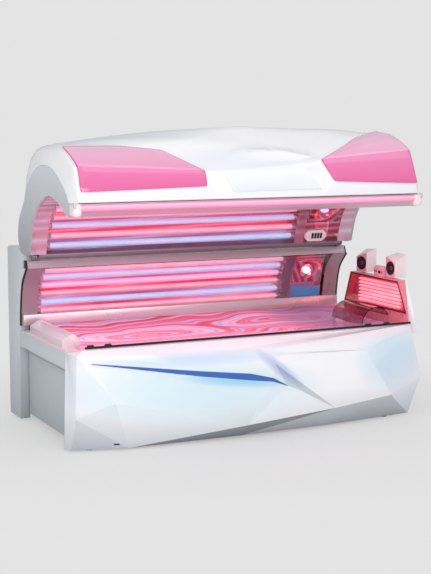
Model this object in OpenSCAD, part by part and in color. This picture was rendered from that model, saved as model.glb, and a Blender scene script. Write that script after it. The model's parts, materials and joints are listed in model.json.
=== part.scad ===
// Red light therapy bed: a lying bench, a curved rear lamp wall, a hinged lamp canopy and a
// head-end shoulder unit. Millimetres, +Z up, floor at z = 0, long side along X, user enters
// from the front (-Y). Shop coordinates start at the left end, the bench front and the floor.

/* [Main sizes] */
// Length of the canopy and of the lamp tunnel along X
canopy_len = 2225; // [2100:5:2350]
// Height of the bench pane's front edge above the floor
bench_z = 600; // [580:2:640]
// Height of the canopy hinge above the bench pane's edge
hinge_rise = 430; // [424:1:440]
// Distance of the canopy hinge behind the bench front
hinge_y = 680; // [676:1:690]
// Back of the rear towers behind the bench front
tower_back_y = 1045; // [1030:5:1080]
// Clear height of the covers above the floor
cover_lift = 10; // [8:1:16]

/* [Shells] */
// Wall of the front fascia, measured front to back
fascia_wall = 10; // [8:1:14]
// Wall of the canopy shell
shell_wall = 5; // [4:0.5:6]
// Wall of the tower covers
cover_wall = 4; // [3:0.5:6]
// Thickness of the canopy's end rings
ring_t = 14; // [10:1:16]
// How far the pink canopy windows stand proud of the shell
window_proud = 9; // [5:0.5:11]
// Radius of the lit tube in the handle
grip_r = 20; // [16:0.5:20]
// Thickness of the end panels
panel_t = 5; // [3:0.5:6]
// Width of the left end beam along X
beam_w = 60; // [52:1:60]
// Height of the left end beam
beam_h = 90; // [80:1:94]

/* [Panes and bands] */
// Thickness of the bench acrylic
bench_pane_t = 8; // [6:0.5:9]
// How far the bench pane dips between its long edges
bench_dip = 46; // [38:1:50]
// Thickness of the side and canopy acrylic
pane_t = 4; // [3:0.5:4]
// Thickness of the mauve end bands
band_t = 5; // [4:0.5:6]
// Width of the end bands along X
band_w = 96; // [90:1:100]

/* [Lamps] */
// Radius of a lamp tube
lamp_r = 19; // [16:0.5:19]
// Wall of a lamp tube
lamp_wall = 1.5; // [1:0.25:3]
// Lamps under the bench pane
bench_lamp_count = 14; // [10:1:14]
// Lamps behind the side pane
side_lamp_count = 7; // [5:1:7]
// Lamps in the canopy
canopy_lamp_count = 14; // [9:1:14]
// Lamps behind the shoulder window
head_lamp_count = 7; // [5:1:7]
// Radius of a shoulder lamp
head_lamp_r = 8; // [6:0.5:8]
// Distance from a pane's inner face to the lamp centres
lamp_depth = 36; // [33:0.5:40]
// Distance from a pane's inner face to the reflector
reflector_depth = 70; // [66:1:74]
// Thickness of the reflector sheets
reflector_t = 3; // [2:0.5:4]

/* [Frame] */
// Side of the square frame tubes
tube = 40; // [36:1:44]
// Thickness of the end plates that carry the hinges
plate_t = 6; // [5:0.5:8]
// Underside of the frame above the floor
frame_z = 60; // [56:1:66]
// Radius of a foot pad
foot_r = 25; // [20:1:30]
// Thickness of a foot pad
foot_t = 12; // [8:1:16]
// Radius of a foot's threaded stem
stem_r = 6; // [4:0.5:8]

/* [Hinge and gas springs] */
// Radius of the canopy hinge pins
pin_r = 12; // [10:0.5:13]
// Wall of the hinge barrel round the pin
barrel_wall = 6; // [5:0.5:7]
// Lever from the hinge axis to the gas spring's pivot
lever = 52; // [48:1:56]
// Radius of the gas spring cylinder
spring_r = 11; // [9:0.5:13]
// Radius of the gas spring rod
rod_r = 5; // [4:0.5:6]

/* [Head end] */
// Gap between the canopy's end and the shoulder unit
head_gap = 10; // [8:1:14]
// Depth of the shoulder unit's housing along X
head_depth = 50; // [48:1:58]
// How far the outer skin flares past the housing
skin_flare = 71; // [60:1:76]
// Width of a loudspeaker box across its front
speaker_w = 95; // [88:1:98]
// Depth of a loudspeaker box
speaker_d = 88; // [84:1:92]
// Height of a loudspeaker's front at its inner edge
speaker_h = 126; // [118:1:134]
// Turn of the rear loudspeaker towards the user, in degrees
speaker_turn = 11; // [6:1:16]
// Radius of the loudspeaker cone opening
cone_r = 33; // [26:1:38]
// Radius of the swivel stem under a loudspeaker
swivel_r = 8; // [6:0.5:10]

/* [Controls] */
// Length of the control panel
panel_w = 156; // [150:1:170]
// Height of the control panel
panel_h = 76; // [72:1:82]
// Width of a rocker key
key_w = 14; // [11:0.5:15]
// Length of a rocker key
key_l = 36; // [30:1:40]
// Radius of the volume knob
knob_r = 9; // [7:0.5:11]
// Radius of a pane lock cap
lock_r = 21; // [17:0.5:22]

/* [Fan] */
// Inner radius of the fan ring
fan_r = 150; // [130:1:160]
// Number of fan blades
fan_blades = 7; // [5:1:9]

/* [Clearances] */
// Gap between parts that are seated on each other
seat = 0.3; // [0.2:0.05:0.4]
// Radial gap of a turning or sliding fit
run_fit = 0.05; // [0.03:0.01:0.08]

/* [Hidden] */
$fn = 48;

// Colours
white = [0.93, 0.93, 0.95];
grey = [0.66, 0.70, 0.71];
mauve = [0.70, 0.62, 0.65];
black = [0.08, 0.06, 0.08];
pink = [0.94, 0.50, 0.70];
steel = [0.55, 0.57, 0.60];
mirror_c = [0.85, 0.30, 0.38];
glow = [0.95, 0.60, 0.72];
clear = [0.85, 0.80, 0.90, 0.35];

// Places that the whole object shares
hinge_z = bench_z + hinge_rise;
hinge = [hinge_y, hinge_z];
lip_front_y = hinge_y - 880;
skin_right = canopy_len + head_gap + head_depth + skin_flare;
mid_x = skin_right / 2;
mid_y = (lip_front_y + tower_back_y) / 2;
plate_x = beam_w + seat;
plate_in = plate_x + plate_t;
side_x0 = ring_t + band_w;
lamp_x0 = side_x0 + 6;
divider_x = canopy_len - side_x0 - 321;
divider_w = 65;
head_x = canopy_len + head_gap;

// Helpers for smooth lines in the Y-Z plane
function curve_point(a, b, c, d, t) = 0.5 * ((2 * b) + (c - a) * t
    + (2 * a - 5 * b + 4 * c - d) * t * t + (3 * b - a - 3 * c + d) * t * t * t);
function smooth(p, n) = [for (i = [0:len(p) - 2]) for (k = [0:n - 1])
    curve_point(p[max(i - 1, 0)], p[i], p[i + 1], p[min(i + 2, len(p) - 1)], k / n),
    p[len(p) - 1]];
function moved(p, by) = [for (q = p) q + by];
function reversed(p) = [for (i = [len(p) - 1:-1:0]) p[i]];
function unit(v) = v / norm(v);
function across(t) = [-t[1], t[0]];
function normal_at(p, i) = across(unit(p[min(i + 1, len(p) - 1)] - p[max(i - 1, 0)]));
function shifted(p, d) = [for (i = [0:len(p) - 1]) p[i] + d * normal_at(p, i)];
function run_lengths(p) = [for (i = 0, s = 0; i < len(p);
    s = s + (i + 1 < len(p) ? norm(p[i + 1] - p[i]) : 0), i = i + 1) s];
function total(p) = run_lengths(p)[len(p) - 1];
function span_at(p, s) = max([for (k = [0:len(p) - 2]) if (run_lengths(p)[k] <= s) k]);
function point_at(p, s) = let (k = span_at(p, s), r = run_lengths(p))
    p[k] + (p[k + 1] - p[k]) * (s - r[k]) / (r[k + 1] - r[k]);
function side_at(p, s) = let (k = span_at(p, s)) across(unit(p[k + 1] - p[k]));

// Lamp tunnel lines, each with its outward side away from the user
arch = moved(smooth([[-734, 303], [-680, 328], [-615, 356], [-536, 380], [-452, 388],
    [-366, 371], [-276, 333], [-213, 293], [-154, 228], [-115, 169], [-92, 109], [-63, 15]], 2),
    hinge);
side_scale = hinge_rise / 430;
side_line = moved(smooth([for (q = [[-7, -76], [28, -110], [70, -157], [92, -204], [106, -255],
    [122, -351], [127, -433]]) [q[0], q[1] * side_scale]], 2), hinge);
bench_front_y = -98;
bench_rear_y = hinge_y + 88;
bench_steps = 18;
bench_half = (bench_rear_y - bench_front_y) / 2;
bench_mid_y = (bench_rear_y + bench_front_y) / 2;
function bench_height(y) = bench_z - bench_dip * (1 - pow((y - bench_mid_y) / bench_half, 2));
bench_line = [for (k = [0:bench_steps])
    let (y = bench_rear_y + (bench_front_y - bench_rear_y) * k / bench_steps)
    [y, bench_height(y)]];

// Outer rim of the canopy's end ring, front to rear, and its rear lobe
rim = moved([[-793, 361], [-780, 378], [-731, 429], [-653, 478], [-559, 526], [-461, 555],
    [-376, 558], [-288, 547], [-197, 519], [-103, 465], [-36, 406], [-3, 342]], hinge);
lobe = moved(smooth([[-3, 342], [70, 265], [117, 208], [133, 150], [135, 96], [116, 60],
    [78, 33]], 2), hinge);
ring_front = moved([[-789, 287], [-880, 345], [-876, 372]], hinge);

module place() translate([-mid_x, -mid_y, 0]) children();
module along_x(x0, x1) translate([x0, 0, 0]) rotate([90, 0, 90]) linear_extrude(x1 - x0) children();
module sheet(p, d0, d1, x0, x1)
    along_x(x0, x1) polygon(concat(shifted(p, d0), reversed(shifted(p, d1))));
module block(x0, x1, y0, y1, z0, z1)
    translate([x0, y0, z0]) cube([x1 - x0, y1 - y0, z1 - z0]);
module lamp(x0, x1) difference() {
    tube_x(x0, x1, 0, 0, lamp_r);
    tube_x(x0 - 1, x1 + 1, 0, 0, lamp_r - lamp_wall);
}
module tube_x(x0, x1, y, z, r) translate([x0, y, z]) rotate([0, 90, 0]) cylinder(r = r, h = x1 - x0);
module both_ends() {
    children();
    translate([canopy_len, 0, 0]) mirror([1, 0, 0]) children();
}
// Places children at length s along a line, with local +Y pointing to its outward side
module on_line(p, s) {
    q = point_at(p, s);
    n = side_at(p, s);
    translate([0, q[0], q[1]]) rotate([atan2(n[1], n[0]), 0, 0]) children();
}
module for_lamps(p, count, m0, m1)
    for (k = [0:count - 1])
        on_line(p, m0 + (total(p) - m0 - m1) * k / (count - 1)) children();

// Base

frame_mid = canopy_len / 2;
bench_rail_z = 415;
front_rail_y = -84;
post_x = [120, frame_mid - tube / 2, canopy_len - 120 - tube];
foot_x = [140, frame_mid, canopy_len - 140];
foot_y = [-10, tower_back_y - 25];
nose_y = bench_rear_y + 4;
spring_x = 80;
spring_foot = [950, bench_z];

module frame_tube_x(y, z) block(plate_x, canopy_len - plate_x, y, y + tube, z, z + tube);

module end_plate() {
    along_x(plate_x, plate_in) difference() {
        union() {
            polygon([[-30, frame_z], [-48, 120], [-70, 300], [-70, bench_z - 66],
                [nose_y, bench_z - 66], [nose_y, bench_z - seat], [nose_y + 30, bench_z - seat],
                [nose_y + 30, bench_z - 60], [tower_back_y - 50, bench_z - 60],
                [tower_back_y - 5, frame_z]]);
            polygon([[tower_front + 20, bench_z - 80], [tower_front + 32, hinge_z - 60],
                [tower_front + 32, hinge_z - 28 + seat],
                [690, hinge_z - 28 + seat], [670, hinge_z - 10], [hinge_y, hinge_z + pin_r + 10],
                [860, hinge_z + 12], [tower_back_y - 15, hinge_z + 8],
                [tower_back_y - 5, bench_z - 80]]);
            translate(hinge) circle(r = pin_r + 10);
        }
        translate(hinge) circle(r = pin_r + run_fit);
        translate([180, frame_z + 80]) square([460, 250]);
    }
    // lug that carries the gas spring's lower pivot
    block(plate_x, spring_x - 12, spring_foot[0] - 16, spring_foot[0] + 16, bench_z - 20, bench_z + 18);
    tube_x(plate_in - 1, spring_x + 10, spring_foot[0], spring_foot[1], rod_r);
}

cross_rail_y = [-30, 250, 500, 780, tower_back_y - 145];
module base_frame() color(steel) place() difference() {
    union() {
        both_ends() end_plate();
        frame_tube_x(front_rail_y, bench_rail_z);
        frame_tube_x(bench_rear_y - tube, bench_rail_z);
        for (y = cross_rail_y) frame_tube_x(y, frame_z);
        for (z = [frame_z, hinge_z - 130]) frame_tube_x(tower_back_y - 5 - tube + 0.7, z);
        for (x = post_x) {
            block(x, x + tube, -30, tower_back_y - 5, frame_z, frame_z + tube);
            block(x, x + tube, -50, -50 + tube - 2, frame_z, bench_rail_z + tube);
            block(x, x + tube, bench_rear_y - tube, bench_rear_y, frame_z, bench_rail_z + 1);
            block(x, x + tube, front_rail_y, bench_rear_y, bench_rail_z, bench_rail_z + tube);
        }
    }
    for (x = foot_x) for (y = foot_y)
        translate([x, y, frame_z - 1]) cylinder(r = stem_r + run_fit, h = tube + 2);
}

module leveling_feet() color(black) place()
    for (x = foot_x) for (y = foot_y) translate([x, y, 0]) {
        cylinder(r = foot_r, h = foot_t);
        translate([0, 0, foot_t - 1]) cylinder(r = stem_r, h = frame_z + tube - foot_t - 4);
        translate([0, 0, frame_z - 8]) cylinder(r = stem_r + 4, h = 8 - seat, $fn = 6);
    }

// Fascia corners: named after what meets there
k_len = canopy_len / 2225;
top_y = front_rail_y - seat - fascia_wall;
low_z = cover_lift;
fa_left_top = [0, -28, bench_z - 40];
fa_left_low = [0, 12, low_z];
fa_heel = [21, -35, low_z];
fa_shin = [30, -100, 200];
fa_shoulder = [33, -115, bench_z - 42];
fa_top_left = [88, top_y, bench_z - 12];
fa_top_right = [canopy_len - 5, top_y, bench_z - 12];
fa_bowl_left = [239 * k_len, -170, 283];
fa_groove_start = [107, -130, bench_z - 89];
fa_keel_left = [330 * k_len, -120, low_z];
fa_bowl_low = [1060 * k_len, -185, 82];
fa_wedge_tip = [1655 * k_len, -160, 122];
fa_knee = [2065 * k_len, -135, 160];
fa_toe = [canopy_len + 28, -38, low_z];
fa_bulge = [canopy_len + 117, -40, 232];
fa_diamond = [1932 * k_len, -150, 361];
fa_top_corner = [canopy_len + 18, -88, bench_z - 67];
fa_bevel_end = [1874 * k_len, -150, bench_z - 141];
fa_bevel = [[458 * k_len, -140, bench_z - 65], [762 * k_len, -150, bench_z - 81],
    [1079 * k_len, -155, bench_z - 99]];
fa_groove = [[757 * k_len, -162, bench_z - 178], [1077 * k_len, -162, bench_z - 219]];
fa_groove_bend = [[1235 * k_len, -152, bench_z - 260], [1240 * k_len, -138, bench_z - 281]];
strip_t = 2.5;
fa_groove_tip = [1341 * k_len, -130, 283];
fa_groove_low = [[760 * k_len, -144, bench_z - 208], [1092 * k_len, -138, bench_z - 261]];
fa_crease = [[1133 * k_len, -155, bench_z - 126], [1242 * k_len, -160, bench_z - 174]];
fa_wedge_low = [1434 * k_len, -140, 242];
fa_keel = [[1030 * k_len, -125, low_z], [1650 * k_len, -105, low_z]];

fascia_points = concat([fa_left_top, fa_left_low, fa_heel, fa_shin, fa_shoulder, fa_top_left,
    fa_top_right, fa_bowl_left, fa_groove_start, fa_keel_left, fa_bowl_low, fa_wedge_tip,
    fa_knee, fa_toe, fa_bulge, fa_diamond, fa_top_corner, fa_bevel_end], fa_bevel, fa_groove,
    [fa_groove_tip], fa_groove_low, fa_crease, [fa_wedge_low], fa_keel, fa_groove_bend);
// Each facet as a triangle of corner numbers, clockwise from the front
fascia_facets = [
    [0, 4, 3], [0, 3, 2], [0, 2, 1], [0, 5, 4], [5, 18, 4], [5, 6, 18], [6, 19, 18], [6, 20, 19],
    [6, 17, 20], [6, 16, 17], [4, 18, 21], [4, 21, 8], [18, 19, 21], [19, 22, 21], [19, 20, 22],
    [20, 26, 22], [26, 27, 22], [27, 31, 22], [27, 23, 31], [27, 11, 28], [27, 28, 23], [8, 24, 7],
    [24, 10, 7], [24, 25, 10], [25, 32, 10], [32, 23, 10], [23, 28, 10], [28, 11, 10], [8, 21, 24],
    [21, 22, 24], [22, 25, 24], [22, 31, 32], [22, 32, 25], [31, 23, 32], [4, 8, 7], [4, 7, 3],
    [3, 7, 9], [3, 9, 2],
    [7, 10, 9], [10, 29, 9], [10, 11, 29], [11, 30, 29], [11, 12, 30], [12, 13, 30],
    [20, 17, 26], [26, 17, 27], [27, 17, 11], [17, 15, 11], [15, 12, 11], [17, 16, 15],
    [15, 16, 14], [15, 14, 12], [12, 14, 13]];
fascia_edge = [0, 5, 6, 16, 14, 13, 30, 29, 9, 2, 1];

// A shell from a facet list: the same facets again, set back along +Y, and a rim between
module facet_shell(points, facets, edge, back) {
    n = len(points);
    m = len(edge);
    polyhedron(concat(points, [for (p = points) p + back]),
        concat(facets, [for (f = facets) [f[2] + n, f[1] + n, f[0] + n]],
            [for (i = [0:m - 1]) let (a = edge[i], b = edge[(i + 1) % m]) [b, a, a + n]],
            [for (i = [0:m - 1]) let (a = edge[i], b = edge[(i + 1) % m]) [b, a + n, b + n]]),
        convexity = 6);
}

module front_fascia() color(white) place()
    facet_shell(fascia_points, fascia_facets, fascia_edge, [0, fascia_wall, 0]);

module fascia_light_strip() color([0.15, 0.30, 0.65]) place()
    translate([0, -0.6 - strip_t, -0.6 - strip_t]) facet_shell(
        concat([fa_groove_start], fa_groove, fa_groove_bend, [fa_groove_tip], fa_groove_low),
        [[0, 1, 6], [1, 2, 6], [2, 7, 6], [2, 3, 4], [2, 4, 7], [3, 5, 4]],
        [0, 1, 2, 3, 5, 4, 7, 6], [0, strip_t, strip_t]);

tower_front = hinge_y + 140;
sill_z = bench_z - bench_dip - bench_pane_t - 12;
module end_beam(top) difference() {
    block(0, beam_w, -11, tower_front - 1, bench_z - 40 - beam_h, top);
    block(cover_wall, beam_w - cover_wall, -11 + cover_wall, tower_front - 1 - cover_wall,
        bench_z - 41 - beam_h, top - 4);
}
module end_bands() color(grey) place() {
    end_beam(bench_z - 40);
    translate([canopy_len, 0, 0]) mirror([1, 0, 0]) end_beam(sill_z);
}

module end_panel() {
    along_x(beam_w - panel_t, beam_w) polygon([[-28, cover_lift + 35], [-46, 120], [-66, 300],
        [-66, bench_z - 40 - beam_h - seat], [tower_front - 1, bench_z - 40 - beam_h - seat],
        [tower_front - 1, cover_lift + 35]]);
    block(beam_w - panel_t - 3, beam_w - panel_t + 1, 20, tower_front - 40, cover_lift + 80,
        bench_z - 80 - beam_h);
}

module end_panels() color(grey) place() both_ends() end_panel();

tower_outline = concat([[tower_front + 10, cover_lift + 5], [tower_front, bench_z - 40]],
    reversed([for (q = shifted(side_line, band_t + 5)) if (q[1] < hinge_z - 80) q]),
    [[hinge_y + 10, hinge_z - 76], [hinge_y + 76, hinge_z - 76], [hinge_y + 76, hinge_z + 14],
    [hinge_y + 116, hinge_z + 34], [hinge_y + 150, hinge_z + 44], [tower_back_y - 25, hinge_z + 40],
    [tower_back_y, hinge_z + 20], [tower_back_y, cover_lift + 5]]);

module tower_cover() difference() {
    along_x(0, plate_x - seat) polygon(tower_outline);
    along_x(cover_wall, plate_x + 1) offset(delta = -cover_wall) polygon(tower_outline);
}

module left_tower_cover() color(grey) place() tower_cover();
module right_tower_cover() color(grey) place()
    translate([canopy_len, 0, 0]) mirror([1, 0, 0]) tower_cover();

fan_x = canopy_len / 2;
fan_z = 520;
gland_x = canopy_len / 2 + 400;
gland_z = 170;
box_back = tower_back_y - 45;

module rear_cover() color(grey) place() difference() {
    block(plate_x, canopy_len - plate_x, tower_back_y - 4, tower_back_y, cover_lift + 20,
        hinge_z + 20);
    translate([fan_x, tower_back_y - 5, fan_z]) rotate([-90, 0, 0]) cylinder(r = fan_r - 6, h = 6);
    translate([gland_x, tower_back_y - 5, gland_z]) rotate([-90, 0, 0]) cylinder(r = 17, h = 6);
    for (x = [300:60:canopy_len - 300])
        if (abs(x - fan_x) > fan_r + 60)
            block(x, x + 12, tower_back_y - 5, tower_back_y + 1, 640, 820);
}

pane_x0 = beam_w + 28;
function bench_slope(y) = 2 * bench_dip * (y - bench_mid_y) / (bench_half * bench_half);
function bench_under(y) = bench_height(y) - bench_pane_t * sqrt(1 + pow(bench_slope(y), 2)) - seat;
module bench_reflector() color(mirror_c) place() {
    x0 = pane_x0;
    x1 = canopy_len - plate_in - seat;
    trough = shifted(sill_line, reflector_depth);
    ends = [trough[len(trough) - 1], trough[0]];
    sheet(sill_line, reflector_depth, reflector_depth + reflector_t, x0, x1);
    for (y = [front_rail_y, bench_rear_y - 8])
        block(x0, x1, y, y + reflector_t, bench_rail_z + tube + seat, bench_under(y) - 0.4);
    block(x0, x1, front_rail_y, ends[0][0] + 1, ends[0][1] - 3, ends[0][1]);
    block(x0, x1, ends[1][0] - 1, bench_rear_y - 6, ends[1][1] - 3, ends[1][1]);
}

bench_margin = 52;
module bench_lamps() color(glow) place()
    for_lamps(bench_line, bench_lamp_count, bench_margin, bench_margin) translate([0, lamp_depth, 0])
        lamp(lamp_x0, canopy_len - lamp_x0);

lock_x = [165, 270, canopy_len - 235, canopy_len - 100];
lock_step = bench_steps - 3;
module at_lock(i) {
    a = bench_line[lock_step + 1];
    b = bench_line[lock_step];
    m = (a + b) / 2;
    translate([lock_x[i], m[0], m[1]]) rotate([atan2(b[1] - a[1], b[0] - a[0]), 0, 0]) children();
}
lock_stem_r = 8;

module bench_pane() color(clear) place() difference() {
    sheet(bench_line, 0, bench_pane_t, pane_x0, canopy_len - 5);
    for (i = [0:3]) at_lock(i) translate([0, 0, -30]) cylinder(r = lock_stem_r + seat, h = 60);
}

module pane_lock(i) at_lock(i) {
    translate([0, 0, seat]) cylinder(r = lock_r, h = 5);
    translate([-lock_r + 4, -3, seat + 4]) cube([2 * lock_r - 8, 6, 5]);
    translate([0, 0, -bench_pane_t - 3]) cylinder(r = lock_stem_r, h = bench_pane_t + 5);
    translate([0, 0, -bench_pane_t - 4 - seat]) cylinder(r = lock_stem_r + 4, h = 4);
}

sill_line = [for (i = [1:bench_steps - 1]) bench_line[i]];
module end_mouldings() color([0.93, 0.78, 0.82]) place() {
    translate([0, 0, bench_z - 40 + seat]) linear_extrude(12 - seat)
        polygon([[3, -15], [pane_x0 - 2, -82], [pane_x0 - 2, nose_y - 1], [3, nose_y - 1]]);
    // sill under the head end of the pane
    sheet(sill_line, bench_pane_t + seat, bench_pane_t + 4, canopy_len - beam_w + 1, canopy_len - 6);
    block(canopy_len - beam_w + 10, canopy_len - 16, bench_mid_y - 70, bench_mid_y + 70, sill_z + seat,
        sill_z + 8.5);
    difference() {
        translate([0, 700, 0]) rotate([90, 0, 0]) linear_extrude(590)
            polygon([[28, bench_z - 30], [28, bench_z + 6], [40, bench_z + 18], [80, bench_z + 40],
                [104, bench_z + 40], [138, bench_z - 2], [138, bench_z - 60], [pane_x0 - 1, bench_z - 60],
                [pane_x0 - 2, bench_z - 30]]);
        sheet(bench_line, -0.6, 200, pane_x0 - 1, 200);
        translate([90, 110, bench_z + 40]) rotate([-50, 0, 0]) translate([-100, -60, 0])
            cube([200, 60, 100]);
        translate([90, 700, bench_z + 40]) rotate([50, 0, 0]) translate([-100, 0, 0])
            cube([200, 60, 100]);
    }
}

module headrest() color(clear) place() intersection() {
    difference() {
        translate([canopy_len - 95, 150, bench_z - 40]) rotate([-90, 0, 0]) cylinder(r = 105, h = 370);
        translate([canopy_len - 95, 149, bench_z - 40]) rotate([-90, 0, 0]) cylinder(r = 100, h = 372);
    }
    difference() {
        block(canopy_len - 200, canopy_len - 6, 150, 520, bench_z - 60, bench_z + 80);
        sheet(bench_line, -0.4, 200, canopy_len - 300, canopy_len + 50);
    }
}

module ballast_units() color(steel) place()
    for (k = [0:5]) block(230 + k * 300 * k_len, 330 + k * 300 * k_len, 252, 538,
        frame_z + tube + seat, frame_z + tube + 80);

module electrical_box() color(grey) place() difference() {
    union() {
        block(gland_x - 150, gland_x + 150, box_back - 150, box_back, frame_z + tube + seat, frame_z + 320);
        translate([gland_x, box_back - 1, gland_z]) rotate([-90, 0, 0])
            cylinder(r = 16, h = tower_back_y + 7 - box_back);
    }
    block(gland_x - 147, gland_x + 147, box_back - 147, box_back - 3, frame_z + tube + 4, frame_z + 317);
    translate([gland_x, box_back - 10, gland_z]) rotate([-90, 0, 0])
        cylinder(r = 8, h = tower_back_y + 40 - box_back);
}

fan_back = tower_back_y - 4 - seat;
module fan_housing() color(black) place() translate([fan_x, 0, fan_z]) {
    difference() {
        translate([0, fan_back - 70, 0]) rotate([-90, 0, 0]) cylinder(r = fan_r + 8, h = 70, $fn = 72);
        translate([0, fan_back - 71, 0]) rotate([-90, 0, 0]) cylinder(r = fan_r, h = 72, $fn = 72);
    }
    translate([0, fan_back - 12, 0]) rotate([-90, 0, 0]) cylinder(r = 42, h = 12);
    for (a = [45:90:315]) rotate([0, a, 0]) block(38, fan_r + 2, fan_back - 10, fan_back - 4, -5, 5);
    translate([0, fan_back - 62, 0]) rotate([-90, 0, 0]) cylinder(r = 6, h = 54);
}

module fan_rotor() color([0.2, 0.2, 0.22]) place() translate([fan_x, 0, fan_z]) {
    difference() {
        translate([0, fan_back - 58, 0]) rotate([-90, 0, 0]) cylinder(r = 38, h = 42);
        translate([0, fan_back - 63, 0]) rotate([-90, 0, 0]) cylinder(r = 6 + run_fit, h = 60);
    }
    for (k = [0:fan_blades - 1]) rotate([0, k * 360 / fan_blades, 0])
        translate([34, fan_back - 37, 0]) rotate([32, 0, 0]) translate([0, -21, -1.5])
            cube([fan_r - 42, 42, 3]);
}

// Rear lamp wall

reflector_line = [for (i = [2:len(side_line) - 1]) side_line[i]];
reflector_top = shifted(reflector_line, reflector_depth)[0];
module side_reflector() color(mirror_c) place() {
    sheet(reflector_line, reflector_depth, reflector_depth + reflector_t, side_x0 - 18,
        canopy_len - side_x0 + 18);
    along_x(side_x0 - 18, canopy_len - side_x0 + 18) polygon([[hinge_y + 50 + seat, reflector_top[1]],
        reflector_top, reflector_top + [3, 4], [hinge_y + 50 + seat, reflector_top[1] + 3]]);
}

side_margin = 62;
module side_lamps() color(glow) place()
    for_lamps(side_line, side_lamp_count, side_margin, 26) translate([0, lamp_depth, 0])
        lamp(lamp_x0 + seat, divider_x - 4 - seat);

module side_pane() color(clear) place()
    sheet(side_line, 0, pane_t, side_x0 + seat, canopy_len - side_x0 - seat);

module side_bands() color(mauve) place() {
    both_ends() sheet(side_line, 0, band_t, 8 + seat, side_x0);
    sheet([for (i = [1:len(side_line) - 1]) side_line[i]], pane_t + seat, pane_t + 6,
        divider_x, divider_x + divider_w);
}

mid_rail_line = [[-8, -72], [8, -28], [50, -28], [50, -72]];
rail_back = hinge_y + 127 - seat - 0.3;
rail_up = 64;
rail_lean = -rail_up * 5 / (82 * side_scale);
lower_rail_line = [[nose_y, bench_z], [nose_y + 4, bench_z + rail_up],
    [rail_back + rail_lean, bench_z + rail_up], [rail_back, bench_z]];

module mid_rail() color(mauve) place() difference() {
    along_x(12 + seat, canopy_len - 12 - seat) polygon(moved(mid_rail_line, hinge));
    along_x(0, canopy_len) polygon(moved([[0, -67], [12, -33], [45, -33], [45, -67]], hinge));
}

module lower_rail() color(mauve) place() difference() {
    union() {
        along_x(12, canopy_len - 12) polygon(lower_rail_line);
        // skirt that closes the gap behind the bench pane
        block(plate_in + 1, canopy_len - plate_in - 1, nose_y + 1, nose_y + 3,
            bench_rail_z + tube + 3, bench_z + 2);
    }
    along_x(0, canopy_len) polygon([[nose_y + 5, bench_z + 5], [nose_y + 8, bench_z + 59],
        [rail_back - 9, bench_z + 59], [rail_back - 6, bench_z + 5]]);
}

module seals() color(black) place() {
    both_ends() {
        sheet(side_line, -4, band_t + 3, 0, 8);
        along_x(8 + seat, 12) polygon(moved([[-12, -72.5], [5, -26], [52, -26], [52, -72.5]], hinge));
    }
    along_x(88, canopy_len - 5) polygon([[bench_front_y - 5.5, bench_z - 12 + seat],
        [bench_front_y - 5.5, bench_z + 1], [bench_front_y - 2, bench_z + 1],
        [bench_front_y - 2, bench_z - bench_pane_t - 1.5],
        [bench_front_y + 4, bench_z - bench_pane_t - 1.5], [bench_front_y + 4, bench_z - 12 + seat]]);
}

face_x0 = divider_x + divider_w + 20;
face_x1 = canopy_len - side_x0 - 20;
module face_dish(p, s, half) on_line(p, s) {
    difference() {
        translate([face_x0, pane_t + 8, -half]) cube([face_x1 - face_x0, 38, 2 * half]);
        translate([(face_x0 + face_x1) / 2, pane_t - 28, 0]) sphere(r = 68);
    }
    block(face_x0 + 40, face_x1 - 40, pane_t + 45, reflector_depth - seat, -12, 12);
}

module side_face_unit() color([0.75, 0.72, 0.80]) place() {
    face_dish(side_line, 160, 80);
    on_line(side_line, 308) {
        block(face_x0, face_x1, pane_t + 8, pane_t + 16, -42, 42);
        block(face_x0 + 60, face_x1 - 60, pane_t + 15.5, reflector_depth - 0.8, -10, 10);
    }
}

holder_w = 22;
module holders(p, count, m0, m1, x0, x1)
    for_lamps(p, count, m0, m1) block(x0, x1, lamp_depth - lamp_r + 2, reflector_depth - 0.8,
        -lamp_r / 2 + 1, lamp_r / 2 - 1);

module base_lamp_holders() color([0.9, 0.9, 0.92]) place() {
    both_ends() holders(bench_line, bench_lamp_count, bench_margin, bench_margin,
        lamp_x0 - holder_w, lamp_x0 - seat);
    holders(side_line, side_lamp_count, side_margin, 26, lamp_x0 - holder_w, lamp_x0);
    holders(side_line, side_lamp_count, side_margin, 26, divider_x - 4, divider_x - 4 + holder_w);
}

module hinge_pins() color(steel) place() both_ends() {
    tube_x(plate_x - 10, 150, hinge_y, hinge_z, pin_r);
    tube_x(plate_x - 16, plate_x - 10 + 1, hinge_y, hinge_z, pin_r + 6);
}

// Shoulder unit at the head end

window_corners = [[628, bench_z + 229], [79, bench_z + 226], [-20, bench_z + 43], [702, bench_z + 41]];
head_top = bench_z + 237;
function head_outline(y_top, y_mid, y_low) = [[640, head_top], [y_top, head_top], [y_mid, bench_z + 43],
    [y_low, bench_z - 85], [716, bench_z - 85], [716, bench_z + 41]];
head_x1 = head_x + head_depth;
function head_cavity(y_top, y_low) = [[620, bench_z + 218], [y_top, bench_z + 218], [y_low, bench_z + 52],
    [690, bench_z + 52]];

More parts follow.
